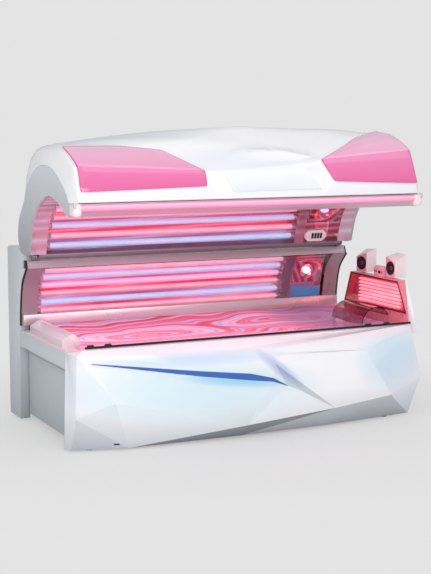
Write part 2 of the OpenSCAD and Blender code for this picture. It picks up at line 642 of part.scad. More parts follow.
module head_housing() color([0.95, 0.93, 0.94]) place() {
    difference() {
        hull() {
            along_x(head_x, head_x + 1) polygon(head_outline(66, -38, -70));
            along_x(head_x1 - 1, head_x1) polygon(head_outline(64, 25, 0));
        }
        hull() {
            along_x(head_x - 1, head_x) polygon(head_cavity(87, -6));
            along_x(head_x1 - 7, head_x1 - 6) polygon(head_cavity(87, 45));
        }
        along_x(head_x - 1, head_x + 4 + seat) offset(delta = seat) polygon(window_corners);
        for (y = speaker_y) translate([speaker_x, y, head_top - 25])
            cylinder(r = swivel_r + run_fit, h = 50);
        along_x(head_x + 6, head_x1 - 6) polygon([[20, bench_z - 78], [700, bench_z - 78],
            [690, bench_z + 20], [40, bench_z + 20]]);
    }
    // brackets that bolt the housing to the right end beam
    for (y = [120, 560]) block(canopy_len + seat, head_x + 5, y, y + 60, bench_z - 80, bench_z - 50);
}

module head_outer_skin() color(white) place() difference() {
    hull() {
        block(head_x1 + seat, head_x1 + 10, 64, 640, head_top - 5, head_top);
        block(head_x1 + seat, head_x1 + 10, 0, 720, bench_z - 90, bench_z - 85);
        block(skin_right - 10, skin_right, -14, 720, bench_z - 90, bench_z - 85);
    }
    hull() {
        block(head_x1 + seat - 1, head_x1 + 5, 70, 635, head_top - 12, head_top - 7);
        block(head_x1 + seat - 1, head_x1 + 5, 7, 714, bench_z - 96, bench_z - 82);
        block(skin_right - 17, skin_right - 7, -6, 714, bench_z - 96, bench_z - 82);
    }
}

module head_window() color([0.95, 0.45, 0.60, 0.4]) place()
    along_x(head_x, head_x + 4) polygon(window_corners);

module head_lamps() color(glow) place()
    for (k = [0:head_lamp_count - 1]) {
        z = bench_z + 62 + 136 * k / (head_lamp_count - 1);
        translate([head_x + 30, 100, z]) rotate([-90, 0, 0]) cylinder(r = head_lamp_r, h = 450);
        block(head_x + 18, head_x1 - 6 - seat, 545, 565, z - 5, z + 5);
        block(head_x + 18, head_x1 - 6 - seat, 85, 105, z - 5, z + 5);
    }

// Loudspeaker box round its swivel axis; side is +1 where the low outer corner lies towards +Y
module speaker_box(side) {
    w = speaker_w / 2;
    front = -18;
    rear = front + speaker_d;
    base = 8;
    difference() {
        hull() {
            translate([front, -w, base]) cube([speaker_d, speaker_w, 1]);
            translate([front, -side * w - 0.5, base]) cube([1, 1, speaker_h]);
            translate([front, side * w - 0.5 - side, base]) cube([1, 1, speaker_h - 28]);
            translate([rear - 1, -side * w - 0.5, base]) cube([1, 1, speaker_h + 24]);
            translate([rear - 1, side * w - 0.5 - side, base]) cube([1, 1, speaker_h + 16]);
        }
        translate([front - 1, 0, base + 57]) rotate([0, 90, 0]) cylinder(r = cone_r, h = 13);
    }
    translate([front + 3, 0, base + 57]) rotate([0, 90, 0]) cylinder(r = 11, h = 10);
    translate([0, 0, seat]) cylinder(r = 12, h = base);
    translate([0, 0, -15]) cylinder(r = swivel_r, h = 17);
}

speaker_y = [537, 188];
speaker_x = head_x + 36;
module at_speaker(y, turn) translate([speaker_x, y, head_top]) rotate([0, 0, turn]) children();

module speaker_left() color([0.96, 0.80, 0.84]) place()
    at_speaker(speaker_y[0], speaker_turn) speaker_box(1);
module speaker_right() color([0.96, 0.80, 0.84]) place()
    at_speaker(speaker_y[1], 3) speaker_box(-1);

console_y = [262, 372];
knob_y = 300;
knob_z = head_top + 30;
module audio_console() color([0.95, 0.66, 0.72]) place() difference() {
    translate([0, console_y[1], 0]) rotate([90, 0, 0]) linear_extrude(console_y[1] - console_y[0])
        polygon([[head_x + 12, head_top + seat], [head_x + 12, head_top + 52],
            [head_x + 28, head_top + 66], [head_x + 48, head_top + 66], [head_x + 48, head_top + seat]]);
    translate([head_x + 11, knob_y, knob_z]) rotate([0, 90, 0]) cylinder(r = 4 + run_fit, h = 17);
    for (y = [276, 340, 356]) translate([head_x + 11, y, knob_z]) rotate([0, 90, 0])
        cylinder(r = 1.8, h = 16);
}

module volume_knob() color(black) place() translate([head_x + 12, knob_y, knob_z]) rotate([0, -90, 0]) {
    translate([0, 0, seat]) cylinder(r = knob_r, h = 7);
    translate([knob_r - 4, -1, 5]) cube([4, 2, 3.5]);
    translate([0, 0, -14]) cylinder(r = 4, h = 16);
}

// Gas springs: cylinders tilt on the end plates, rods end in an open eye round the lever pins
lever_start = -10;
function lever_at(turn) = hinge + lever * [cos(lever_start + turn), sin(lever_start + turn)];
spring_top_rest = lever_at(0);
spring_way = spring_top_rest - spring_foot;
spring_lean = atan2(-spring_way[0], spring_way[1]);
spring_len = norm(spring_way);
module at_spring() translate([spring_x, spring_foot[0], spring_foot[1]]) rotate([spring_lean, 0, 0])
    children();
spring_body = 210;

module spring_cylinders() color(black) place() both_ends() at_spring() difference() {
    union() {
        translate([0, 0, 14]) cylinder(r = spring_r, h = spring_body);
        translate([-7, 0, 0]) rotate([0, 90, 0]) cylinder(r = 13, h = 14);
        translate([-6, -9, 4]) cube([12, 18, 14]);
    }
    translate([-8, 0, 0]) rotate([0, 90, 0]) cylinder(r = rod_r + run_fit, h = 16);
    translate([0, 0, 24]) cylinder(r = rod_r + run_fit, h = spring_body);
}

eye_slack = 4;
module spring_rods() color(steel) place() both_ends() at_spring() difference() {
    union() {
        translate([0, 0, 90]) cylinder(r = rod_r, h = spring_len - 90 - 12);
        translate([-6.5, 0, spring_len]) rotate([0, 90, 0]) cylinder(r = rod_r + eye_slack + 5, h = 13);
    }
    translate([-8, 0, spring_len]) rotate([0, 90, 0]) cylinder(r = rod_r + eye_slack, h = 16);
}

// Canopy

rear_line = concat([lobe[0] + [-24, 30]], lobe);
module canopy_frame() color(grey) place() {
    both_ends() along_x(0, ring_t) polygon(concat(reversed(arch), ring_front, rim,
        [for (i = [1:len(lobe) - 1]) lobe[i]], [hinge + [0, 4]]));
    along_x(ring_t - 1, canopy_len - ring_t + 1)
        polygon(concat(rear_line, reversed(shifted(rear_line, -4))));
}

// The canopy skin as rows of corners from the lip, over the crown, to the rear edge.
// Each row gives front-back and height offsets from the hinge against the share of the length.
function row_y(r, u) =
    r == 0 ? -878 :
    r == 1 ? -872 :
    r == 2 ? lookup(u, [[0, -830], [0.363, -840], [0.396, -852], [0.64, -836], [0.687, -820], [1, -780]]) :
    r == 3 ? lookup(u, [[0, -700], [0.17, -705], [0.29, -745], [0.363, -790], [0.6, -780],
        [0.687, -800], [0.86, -720], [0.958, -665], [1, -660]]) :
    r == 4 ? lookup(u, [[0, -570], [0.17, -580], [0.29, -670], [0.363, -745], [0.5, -690], [0.6, -715],
        [0.687, -780], [0.86, -655], [0.958, -570], [1, -560]]) :
    r == 5 ? lookup(u, [[0, -470], [0.15, -500], [0.26, -540], [0.434, -590], [0.59, -670],
        [0.687, -760], [0.86, -600], [0.958, -480], [1, -470]]) :
    r == 6 ? -380 : r == 7 ? -270 : r == 8 ? -140 : r == 9 ? -20 : r == 10 ? 58 : 2.3;
function crown(u) = lookup(u, [[0, 6], [0.15, 48], [0.29, 80], [0.557, 110], [0.74, 94],
    [0.86, 86], [0.958, 64], [1, 52]]);
function row_z(r, u) =
    r == 0 ? 370 :
    r == 1 ? lookup(u, [[0, 422], [0.357, 440], [0.37, 400], [0.70, 404], [0.72, 450], [1, 424]]) :
    r == 2 ? lookup(u, [[0, 563], [0.363, 524], [0.396, 510], [0.64, 550], [0.687, 577], [1, 627]]) :
    r == 3 ? lookup(u, [[0, 622], [0.17, 620], [0.29, 585], [0.363, 550], [0.6, 580], [0.687, 583],
        [0.86, 655], [0.958, 688], [1, 676]]) :
    r == 4 ? lookup(u, [[0, 664], [0.17, 662], [0.29, 634], [0.363, 580], [0.5, 640], [0.6, 640],
        [0.687, 590], [0.86, 682], [0.958, 722], [1, 705]]) :
    r == 5 ? lookup(u, [[0, 672], [0.15, 700], [0.26, 704], [0.434, 686], [0.59, 636],
        [0.687, 600], [0.86, 698], [0.958, 732], [1, 716]]) :
    r == 6 ? 664 + crown(u) : r == 7 ? 654 + crown(u) : r == 8 ? 635 + 0.9 * crown(u) :
    r == 9 ? 580 + 0.7 * crown(u) : r == 10 ? 488 + 0.5 * crown(u) : 346;
cheek = 35;
cheek_u = cheek / canopy_len;
skin_stations = [0, cheek_u, 0.1, 0.17, 0.23, 0.29, 0.357, 0.37, 0.434, 0.5, 0.557, 0.6, 0.64, 0.687,
    0.72, 0.79, 0.86, 0.91, 0.958, 1 - cheek_u, 1];
skin_rows = 11;
// Station lines bend from row to row, so that creases follow the edges of windows and badge
function station(k, r) =
    k == 5 ? lookup(r, [[2, 0.29], [3, 0.28], [4, 0.255], [5, 0.29]]) :
    k == 6 ? lookup(r, [[2, 0.357], [3, 0.32], [4, 0.27], [5, 0.357]]) :
    k == 8 ? lookup(r, [[0, 0.434], [1, 0.432], [2, 0.404], [3, 0.434]]) :
    k == 12 ? lookup(r, [[0, 0.64], [1, 0.69], [2, 0.635], [3, 0.64]]) :
    k == 13 ? lookup(r, [[0, 0.687], [1, 0.70], [2, 0.687]]) :
    k == 14 ? lookup(r, [[0, 0.72], [1, 0.722], [2, 0.692], [3, 0.73], [4, 0.79], [5, 0.86], [6, 0.72]]) :
    k == 15 ? lookup(r, [[3, 0.79], [4, 0.82], [5, 0.88], [6, 0.79]]) :
    k == 16 ? lookup(r, [[4, 0.86], [5, 0.90], [6, 0.86]]) :
    k == 17 ? lookup(r, [[4, 0.91], [5, 0.925], [6, 0.91]]) : skin_stations[k];
last_station = len(skin_stations) - 1;
rim_gap = 0.9;
function at_end(k) = k == 0 || k == last_station;
function skin_profile(k) = at_end(k) ? shifted(rim, shell_wall + rim_gap)
    : [for (r = [0:skin_rows]) let (u = station(k, r)) hinge + [row_y(r, u), row_z(r, u)]];
function skin_inside(k) = at_end(k) ? shifted(rim, rim_gap) : shifted(skin_profile(k), -shell_wall);
function at_x(p, k) = [for (r = [0:skin_rows])
    [(at_end(k) ? skin_stations[k] : station(k, r)) * canopy_len, p[r][0], p[r][1]]];

window_gap = 1.4;
badge_gap = 0.6;
badge_proud = 5;

// Closed solid between an outer and an inner grid of points, both row by row along X
module grid_shell(outer, inner) {
    n = len(outer);
    m = len(outer[0]);
    points = concat([for (s = outer) each s], [for (s = inner) each s]);
    half = n * m;
    function at(i, j) = i * m + j;
    faces = concat(
        [for (i = [0:n - 2]) for (j = [0:m - 2]) [at(i, j), at(i + 1, j), at(i + 1, j + 1)]],
        [for (i = [0:n - 2]) for (j = [0:m - 2]) [at(i, j), at(i + 1, j + 1), at(i, j + 1)]],
        [for (i = [0:n - 2]) for (j = [0:m - 2])
            [half + at(i, j), half + at(i + 1, j + 1), half + at(i + 1, j)]],
        [for (i = [0:n - 2]) for (j = [0:m - 2])
            [half + at(i, j), half + at(i, j + 1), half + at(i + 1, j + 1)]],
        [for (j = [0:m - 2]) [at(0, j), at(0, j + 1), half + at(0, j + 1)]],
        [for (j = [0:m - 2]) [at(0, j), half + at(0, j + 1), half + at(0, j)]],
        [for (j = [0:m - 2]) [at(n - 1, j), half + at(n - 1, j + 1), at(n - 1, j + 1)]],
        [for (j = [0:m - 2]) [at(n - 1, j), half + at(n - 1, j), half + at(n - 1, j + 1)]],
        [for (i = [0:n - 2]) [at(i, 0), half + at(i + 1, 0), at(i + 1, 0)]],
        [for (i = [0:n - 2]) [at(i, 0), half + at(i, 0), half + at(i + 1, 0)]],
        [for (i = [0:n - 2]) [at(i, m - 1), at(i + 1, m - 1), half + at(i + 1, m - 1)]],
        [for (i = [0:n - 2]) [at(i, m - 1), half + at(i + 1, m - 1), half + at(i, m - 1)]]);
    polyhedron(points, [for (f = faces) reversed(f)], convexity = 6);
}

module canopy_shell() color(white) place()
    grid_shell([for (k = [0:last_station]) at_x(skin_profile(k), k)],
        [for (k = [0:last_station]) at_x(skin_inside(k), k)]);

// A point between station lines and rows, on the same two triangles as the skin
function skin_at(k, v) = let (i = min(floor(k), last_station - 1), s = k - i,
    r = min(floor(v), skin_rows - 1), t = v - r,
    a = at_x(skin_profile(i), i), b = at_x(skin_profile(i + 1), i + 1), corner = t > s ? a[r + 1] : b[r])
    a[r] * (1 - max(s, t)) + corner * abs(s - t) + b[r + 1] * min(s, t);
function seg_side(p, r) = across(unit(p[r + 1] - p[r]));
function skin_side(k, v) = let (p = skin_profile(round(k)), a = seg_side(p, max(ceil(v) - 1, 0)),
    b = seg_side(p, min(floor(v), skin_rows - 1)), n = (a + b) / (1 + a * b)) [0, n[0], n[1]];
// A proud slab on the skin between station lines and rows, from d0 to d1 above it
module skin_slab(rows, lines, d0, d1)
    grid_shell([for (k = lines) [for (v = rows) skin_at(k, v) + d1 * skin_side(k, v)]],
        [for (k = lines) [for (v = rows) skin_at(k, v) + d0 * skin_side(k, v)]]);

module canopy_windows() color(pink) place() {
    skin_slab([1.02, 2, 3, 3.96], [1.02, 2, 3, 4, 5, 5.97], window_gap, window_proud);
    skin_slab([1.02, 2, 3, 4, 4.98], [14.03, 15, 16, 17, 18, 18.96], window_gap, window_proud);
}

module badge_panel() color(white) place()
    skin_slab([1.06, 1.9], [8, 9, 10, 11, 12], badge_gap, badge_proud);

module canopy_reflector() color(mirror_c) place()
    sheet(arch, reflector_depth, reflector_depth + reflector_t, ring_t + seat, canopy_len - ring_t - seat);

canopy_margin = 42;
module canopy_lamps() color(glow) place()
    for_lamps(arch, canopy_lamp_count, canopy_margin, canopy_margin) translate([0, lamp_depth, 0])
        lamp(lamp_x0 + seat, divider_x - 4 - seat);

module canopy_lamp_holders() color([0.9, 0.9, 0.92]) place() {
    holders(arch, canopy_lamp_count, canopy_margin, canopy_margin, lamp_x0 - 22, lamp_x0);
    holders(arch, canopy_lamp_count, canopy_margin, canopy_margin, divider_x - 4, divider_x + 18);
}

module canopy_pane() color(clear) place()
    sheet(arch, 0, pane_t, side_x0 + seat, canopy_len - side_x0 - seat);

module canopy_bands() color(mauve) place() {
    both_ends() sheet(arch, 0, band_t, ring_t + seat, side_x0);
    sheet(arch, pane_t + seat, pane_t + 6, divider_x, divider_x + divider_w);
}

canopy_dish = 85;
canopy_dish_at = [230, 450, 670];
module canopy_face_unit() color([0.75, 0.72, 0.80]) place()
    for (s = canopy_dish_at) face_dish(arch, s, canopy_dish);

arch_tip_side = normal_at(arch, 0);
arch_tip = arch[0] - seat * unit(arch[1] - arch[0]);
module handle_rail() color(mauve) place() along_x(ring_t + seat, canopy_len - ring_t - seat)
    polygon(concat(moved([[-872, 364.5], [-872, 361], [-826, 361], [-826, 320], [-790, 288]], hinge),
        [arch_tip, arch_tip + 7 * arch_tip_side],
        moved([[-786, 298], [-818, 326], [-818, 364.5]], hinge)));

grip = hinge + [-850, 340.5];
module handle_light_tube() color(pink) place() {
    tube_x(ring_t + 40, canopy_len - ring_t - 40, grip[0], grip[1], grip_r);
    both_ends() translate([ring_t + seat, grip[0], grip[1]]) rotate([22.5, 0, 0])
        rotate([0, 90, 0]) cylinder(r = grip_r + 1.7, h = 48, $fn = 8);
}

barrel_r = pin_r + barrel_wall;
arch_end_side = normal_at(arch, len(arch) - 1);
arch_end = arch[len(arch) - 1] + seat * unit(arch[len(arch) - 1] - arch[len(arch) - 2]);
module canopy_rear_rail() color([0.42, 0.46, 0.46]) place() {
    difference() {
        along_x(plate_in + 3, canopy_len - plate_in - 3) union() {
            translate(hinge) circle(r = barrel_r);
            polygon(concat(moved([[-63, 4], [0, -barrel_r + 4], [16, 8], [20, 28.7], [84, 28.7],
                [84, 33 - seat], [10, 33 - seat]], hinge), [arch_end + 74 * arch_end_side,
                arch_end + 69 * arch_end_side, arch_end + 10 * arch_end_side, arch_end]));
        }
        tube_x(0, canopy_len, hinge_y, hinge_z, pin_r + run_fit);
    }
    both_ends() difference() {
        union() {
            along_x(spring_x + 8, spring_x + 16) polygon([hinge + [0, 12], hinge + [0, -12],
                spring_top_rest + [6, -8], spring_top_rest + [6, 8]]);
            tube_x(spring_x - 7, spring_x + 12, spring_top_rest[0], spring_top_rest[1], rod_r);
        }
        tube_x(0, canopy_len, hinge_y, hinge_z, pin_r + run_fit);
    }
}

// Control panel on the canopy's lower rear arch, with two-way rocker keys
panel_x = divider_x + 139;
panel_s = total(arch) - 52;
panel_t_full = 16;
panel_q = point_at(arch, panel_s);
panel_n = side_at(arch, panel_s);
panel_face = panel_q - (panel_t_full + seat + 0.3) * panel_n;
key_pitch = 21;
key_x = [for (k = [0:3]) panel_x - 1.1 * key_pitch + k * key_pitch];
module at_panel() translate([panel_x, panel_face[0], panel_face[1]])
    rotate([atan2(panel_n[1], panel_n[0]), 0, 0]) children();
module at_key(i) translate([key_x[i], panel_face[0], panel_face[1]])
    rotate([atan2(panel_n[1], panel_n[0]), 0, 0]) children();

module control_panel() color([0.95, 0.82, 0.86]) place() difference() {
    at_panel() rotate([-90, 0, 0]) linear_extrude(panel_t_full) polygon([
        [-panel_w / 2, -14], [-panel_w / 2 + 26, -panel_h / 2], [panel_w / 2 - 26, -panel_h / 2],
        [panel_w / 2, -14], [panel_w / 2, 14], [panel_w / 2 - 26, panel_h / 2],
        [-panel_w / 2 + 26, panel_h / 2], [-panel_w / 2, 14]]);
    for (i = [0:3]) at_key(i) {
        translate([-key_w / 2 - 0.5, -1, -key_l / 2 - 1]) cube([key_w + 1, 11, key_l + 2]);
        translate([-key_w / 2 - 2.5, 4, 0]) rotate([0, 90, 0]) cylinder(r = 1.5 + run_fit, h = key_w + 5);
    }
}

module rocker_key(i) color(black) place() at_key(i) {
    translate([-key_w / 2, -3, -key_l / 2]) cube([key_w, 9, key_l]);
    translate([-key_w / 2 - 2, 4, 0]) rotate([0, 90, 0]) cylinder(r = 1.5, h = key_w + 4);
}
module rocker_key_1() rocker_key(0);
module rocker_key_2() rocker_key(1);
module rocker_key_3() rocker_key(2);
module rocker_key_4() rocker_key(3);
module pane_lock_1() color(black) place() pane_lock(0);
module pane_lock_2() color(black) place() pane_lock(1);
module pane_lock_3() color(black) place() pane_lock(2);
module pane_lock_4() color(black) place() pane_lock(3);

base_frame();
leveling_feet();
front_fascia();
fascia_light_strip();
end_bands();
end_panels();
left_tower_cover();
right_tower_cover();
rear_cover();
bench_reflector();
bench_lamps();
bench_pane();
end_mouldings();
headrest();
ballast_units();
electrical_box();
fan_housing();
fan_rotor();
side_reflector();
side_lamps();
side_pane();
side_bands();
seals();
mid_rail();
lower_rail();
side_face_unit();
base_lamp_holders();
hinge_pins();
head_housing();
head_outer_skin();
head_window();
head_lamps();
audio_console();
volume_knob();
speaker_left();
speaker_right();
pane_lock_1();
pane_lock_2();
pane_lock_3();
pane_lock_4();
spring_cylinders();
spring_rods();
canopy_frame();
canopy_shell();
canopy_windows();
badge_panel();
canopy_reflector();
canopy_lamps();
canopy_lamp_holders();
canopy_pane();
canopy_bands();
canopy_face_unit();
handle_rail();
handle_light_tube();
canopy_rear_rail();
control_panel();
rocker_key_1();
rocker_key_2();
rocker_key_3();
rocker_key_4();
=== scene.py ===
import json
import math

import bmesh
import bpy
import numpy as np
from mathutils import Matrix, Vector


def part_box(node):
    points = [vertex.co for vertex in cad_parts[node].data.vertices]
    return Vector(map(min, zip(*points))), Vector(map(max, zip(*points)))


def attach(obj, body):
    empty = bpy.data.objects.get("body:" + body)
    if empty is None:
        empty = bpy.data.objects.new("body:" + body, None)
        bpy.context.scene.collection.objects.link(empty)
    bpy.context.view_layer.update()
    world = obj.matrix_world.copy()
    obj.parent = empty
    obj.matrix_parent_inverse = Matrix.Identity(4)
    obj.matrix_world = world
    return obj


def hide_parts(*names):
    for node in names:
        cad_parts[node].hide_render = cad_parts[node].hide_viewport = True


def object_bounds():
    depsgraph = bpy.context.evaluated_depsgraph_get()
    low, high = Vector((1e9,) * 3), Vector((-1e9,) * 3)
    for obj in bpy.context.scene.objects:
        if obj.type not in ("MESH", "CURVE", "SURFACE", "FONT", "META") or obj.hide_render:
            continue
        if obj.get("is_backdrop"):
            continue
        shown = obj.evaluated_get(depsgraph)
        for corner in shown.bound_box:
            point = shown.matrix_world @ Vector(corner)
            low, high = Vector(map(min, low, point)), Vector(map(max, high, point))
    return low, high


# Red light therapy bed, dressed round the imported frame. Metres, +Z up, floor at z = 0,
# the user's side faces -Y and the head end +X.
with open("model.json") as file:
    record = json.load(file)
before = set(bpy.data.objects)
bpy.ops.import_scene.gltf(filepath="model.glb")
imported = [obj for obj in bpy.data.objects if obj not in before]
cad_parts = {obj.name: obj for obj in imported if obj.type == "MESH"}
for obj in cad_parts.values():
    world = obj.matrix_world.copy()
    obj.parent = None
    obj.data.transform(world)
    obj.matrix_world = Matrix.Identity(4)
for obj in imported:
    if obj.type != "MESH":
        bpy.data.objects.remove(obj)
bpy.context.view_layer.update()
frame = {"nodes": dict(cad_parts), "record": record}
nodes = frame["nodes"]
behaviour = frame["record"]["behaviour"]
bodyOf = {n: b for b, ns in behaviour["bodies"].items() for n in ns}
joints = {j["name"]: j for j in behaviour["joints"]}
print("frame loaded:", len(nodes), "nodes")


# Linear colour from six hex digits of sRGB
def shade(text):
    parts = [int(text[i:i + 2], 16) / 255 for i in (0, 2, 4)]
    return [p / 12.92 if p < 0.04045 else ((p + 0.055) / 1.055) ** 2.4 for p in parts] + [1.0]


# Meshes from numpy arrays. A part is (points, [(faces, slot), ...], tints or None).
# This one turns a profile of (along X, radius) pairs round the X axis and closes both ends.
def turned(profile, segments, slots=None):
    profile = np.array(profile, float)
    angle = np.arange(segments) * 2 * math.pi / segments
    along = np.repeat(profile[:, 0], segments)
    radius = np.repeat(profile[:, 1], segments)
    turn = np.tile(angle, len(profile))
    points = np.stack([along, radius * np.cos(turn), radius * np.sin(turn)], 1)
    row = np.arange(len(profile) - 1)[:, None] * segments
    col = np.arange(segments)[None, :]
    nextCol = (col + 1) % segments
    quads = np.stack([row + col, row + nextCol, row + segments + nextCol, row + segments + col], 2)
    slots = np.zeros(len(profile) - 1, int) if slots is None else np.array(slots)
    faces = [(quads[slots == s].reshape(-1, 4), int(s)) for s in np.unique(slots)]
    ends = np.arange(segments)[None, :]
    faces.append((ends[:, ::-1], int(slots[0])))
    faces.append((ends + (len(profile) - 1) * segments, int(slots[-1])))
    return points, faces, None


# Ring of round wire about the X axis
def hoop(radius, thick, segments, sides):
    big = np.arange(segments)[:, None] * 2 * math.pi / segments
    small = np.arange(sides)[None, :] * 2 * math.pi / sides
    reach = radius + thick * np.cos(small)
    points = np.stack([thick * np.sin(small) + 0 * big, reach * np.cos(big),
                       reach * np.sin(big)], 2)
    i = np.arange(segments)[:, None]
    j = np.arange(sides)[None, :]
    ni = (i + 1) % segments
    nj = (j + 1) % sides
    quads = np.stack([i * sides + j, ni * sides + j, ni * sides + nj, i * sides + nj], 2)
    return points.reshape(-1, 3), [(quads.reshape(-1, 4)[:, ::-1], 0)], None


# Closed loop of round wire through points that lie in a plane with this normal
def wire(line, normal, radius, sides=8):
    line = np.array(line, float)
    normal = np.array(normal, float)
    ahead = np.roll(line, -1, 0) - line
    behind = line - np.roll(line, 1, 0)
    unit = [v / np.linalg.norm(v, axis=1)[:, None] for v in (ahead, behind)]
    way = unit[0] + unit[1]
    way /= np.linalg.norm(way, axis=1)[:, None]
    side = np.cross(normal, way) / (way * unit[0]).sum(1)[:, None]
    angle = np.arange(sides) * 2 * math.pi / sides
    points = (line[:, None] + radius * (np.cos(angle)[None, :, None] * side[:, None]
              + np.sin(angle)[None, :, None] * normal))
    count = len(line)
    i = np.arange(count)[:, None]
    j = np.arange(sides)[None, :]
    ni = (i + 1) % count
    nj = (j + 1) % sides
    quads = np.stack([i * sides + j, i * sides + nj, ni * sides + nj, ni * sides + j], 2)
    return points.reshape(-1, 3), [(quads.reshape(-1, 4), 0)], None


# Closed rounded block between two corners: |x|^p + |y|^p + |z|^p = 1 on an eased grid
def pebble(low, high, power, across=20, around=32):
    tilt = (np.arange(1, across) / across - 0.5)[:, None] * math.pi
    turn = (np.arange(around) / around)[None, :] * 2 * math.pi
    flat = np.cos(tilt)
    ball = np.stack([np.sin(tilt) + 0 * turn, flat * np.cos(turn), flat * np.sin(turn)], 2)
    ball = ball.reshape(-1, 3)
    ball = np.vstack([[[-1, 0, 0]], ball, [[1, 0, 0]]])
    size = (np.abs(ball) ** power).sum(1) ** (1 / power)
    centre = (np.array(low) + np.array(high)) / 2
    points = ball / size[:, None] * (np.array(high) - np.array(low)) / 2 + centre
    i = np.arange(across - 2)[:, None] * around + 1
    j = np.arange(around)[None, :]
    nj = (j + 1) % around
    quads = np.stack([i + j, i + nj, i + around + nj, i + around + j], 2).reshape(-1, 4)
    j = j.ravel()
    nj = nj.ravel()
    last = len(points) - 1
    first = np.stack([0 * j, nj + 1, j + 1], 1)
    final = np.stack([0 * j + last, last - around + j, last - around + nj], 1)
    return points, [(quads, 0), (first, 0), (final, 0)], None


# Turns a part's +X axis to way and moves it to place
def aimed(part, place, way):
    way = np.array(way, float) / np.linalg.norm(way)
    helper = np.array([0.0, 0.0, 1.0]) if abs(way[2]) < 0.9 else np.array([0.0, 1.0, 0.0])
    side = np.cross(helper, way)
    side /= np.linalg.norm(side)
    turn = np.stack([way, side, np.cross(way, side)], 1)
    return part[0] @ turn.T + np.array(place), part[1], part[2]


crispAngle = math.radians(35.0)  # edges of the pieces made here that stay crisp


# One piece of the scene from its parts. stands names the CAD nodes that it stands for.
def makePiece(name, parts, mats, body, stands=()):
    points = np.vstack([part[0] for part in parts])
    starts = np.cumsum([0] + [len(part[0]) for part in parts])
    polygons = []
    slots = []
    for part, start in zip(parts, starts):
        for faces, slot in part[1]:
            polygons += (faces + start).tolist()
            slots += [slot] * len(faces)
    mesh = bpy.data.meshes.new(name)
    mesh.from_pydata(points.tolist(), [], polygons)
    mesh.polygons.foreach_set("material_index", slots)
    mesh.shade_smooth()
    mesh.set_sharp_from_angle(angle=crispAngle)
    if parts[0][2] is not None:
        tints = np.vstack([part[2] for part in parts])
        layer = mesh.color_attributes.new("tint", "FLOAT_COLOR", "POINT")
        layer.data.foreach_set("color", tints.ravel())
    for mat in mats:
        mesh.materials.append(mat)
    piece = bpy.data.objects.new(name, mesh)
    bpy.context.scene.collection.objects.link(piece)
    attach(piece, body)
    if stands:
        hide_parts(*stands)


# Corners of a CAD node's mesh in the shared frame
def cornersOf(name):
    mesh = nodes[name].data
    points = np.empty(len(mesh.vertices) * 3)
    mesh.vertices.foreach_get("co", points)
    turn = np.array(nodes[name].matrix_world)
    return points.reshape(-1, 3) @ turn[:3, :3].T + turn[:3, 3]


# Corners of a flat node's outline at its low X face, in order round their middle
def outlineOf(name):
    points = cornersOf(name)
    points = np.unique(np.round(points[points[:, 0] < points[:, 0].min() + 1e-4], 5), axis=0)
    around = points - points.mean(0)
    return points[np.argsort(np.arctan2(around[:, 2], around[:, 1]))]


# Boxes of the separate solids in a CAD node, as an array of (low, high) corners. Joined corners
# take the least label among them, until no label changes; the rounds are only a stop.
def solidBoxes(name):
    mesh = nodes[name].data
    edges = np.empty(len(mesh.edges) * 2, int)
    mesh.edges.foreach_get("vertices", edges)
    same, index = np.unique(np.round(cornersOf(name), 5), axis=0, return_inverse=True)
    ends = index.ravel()[edges].reshape(-1, 2)
    label = np.arange(len(same))
    for _ in range(400):
        least = np.minimum(label[ends[:, 0]], label[ends[:, 1]])
        before = label.copy()
        np.minimum.at(label, ends[:, 0], least)
        np.minimum.at(label, ends[:, 1], least)
        label = label[label]
        if (label == before).all():
            break
    return np.array([[same[label == k].min(0), same[label == k].max(0)] for k in np.unique(label)])


# Shader nodes. A value may be a number, a colour or another node's output.
def feed(tree, value, socket):
    if hasattr(value, "is_output"):
        tree.links.new(value, socket)
    else:
        socket.default_value = value


# A keyword such as in_Scale feeds that input, any other one sets a property of the node
def put(tree, kind, **values):
    node = tree.nodes.new(kind)
    for key, value in values.items():
        if key.startswith("in_"):
            feed(tree, value, node.inputs[key[3:].replace("_", " ")])
        else:
            setattr(node, key, value)
    return node


def objectPlace(tree):
    return put(tree, "ShaderNodeTexCoord").outputs["Object"]


def noiseOn(tree, vector, scale, detail=3.0, rough=0.5):
    return put(tree, "ShaderNodeTexNoise", in_Vector=vector, in_Scale=scale, in_Detail=detail,
               in_Roughness=rough).outputs["Fac"]


def spread(tree, value, low, high, toLow, toHigh):
    return put(tree, "ShaderNodeMapRange", in_Value=value, in_From_Min=low, in_From_Max=high,
               in_To_Min=toLow, in_To_Max=toHigh).outputs["Result"]


def mixColour(tree, factor, one, two, how="MIX"):
    mix = put(tree, "ShaderNodeMix", data_type="RGBA", blend_type=how)
    for socket, value in ((mix.inputs[0], factor), (mix.inputs[6], one), (mix.inputs[7], two)):
        feed(tree, value, socket)
    return mix.outputs[2]


def maths(tree, kind, *values):
    node = put(tree, "ShaderNodeMath", operation=kind)
    for socket, value in zip(node.inputs, values):
        feed(tree, value, socket)
    return node.outputs[0]


def squareShare(tree, value, reach):
    return maths(tree, "POWER", maths(tree, "DIVIDE", value, reach), 2.0)


def toneRamp(tree, value, stops):
    ramp = put(tree, "ShaderNodeValToRGB", in_Fac=value)
    while len(ramp.color_ramp.elements) < len(stops):
        ramp.color_ramp.elements.new(0.5)
    for element, (at, tone) in zip(ramp.color_ramp.elements, stops):
        element.position = at
        element.color = shade(tone)
    return ramp.outputs["Color"]


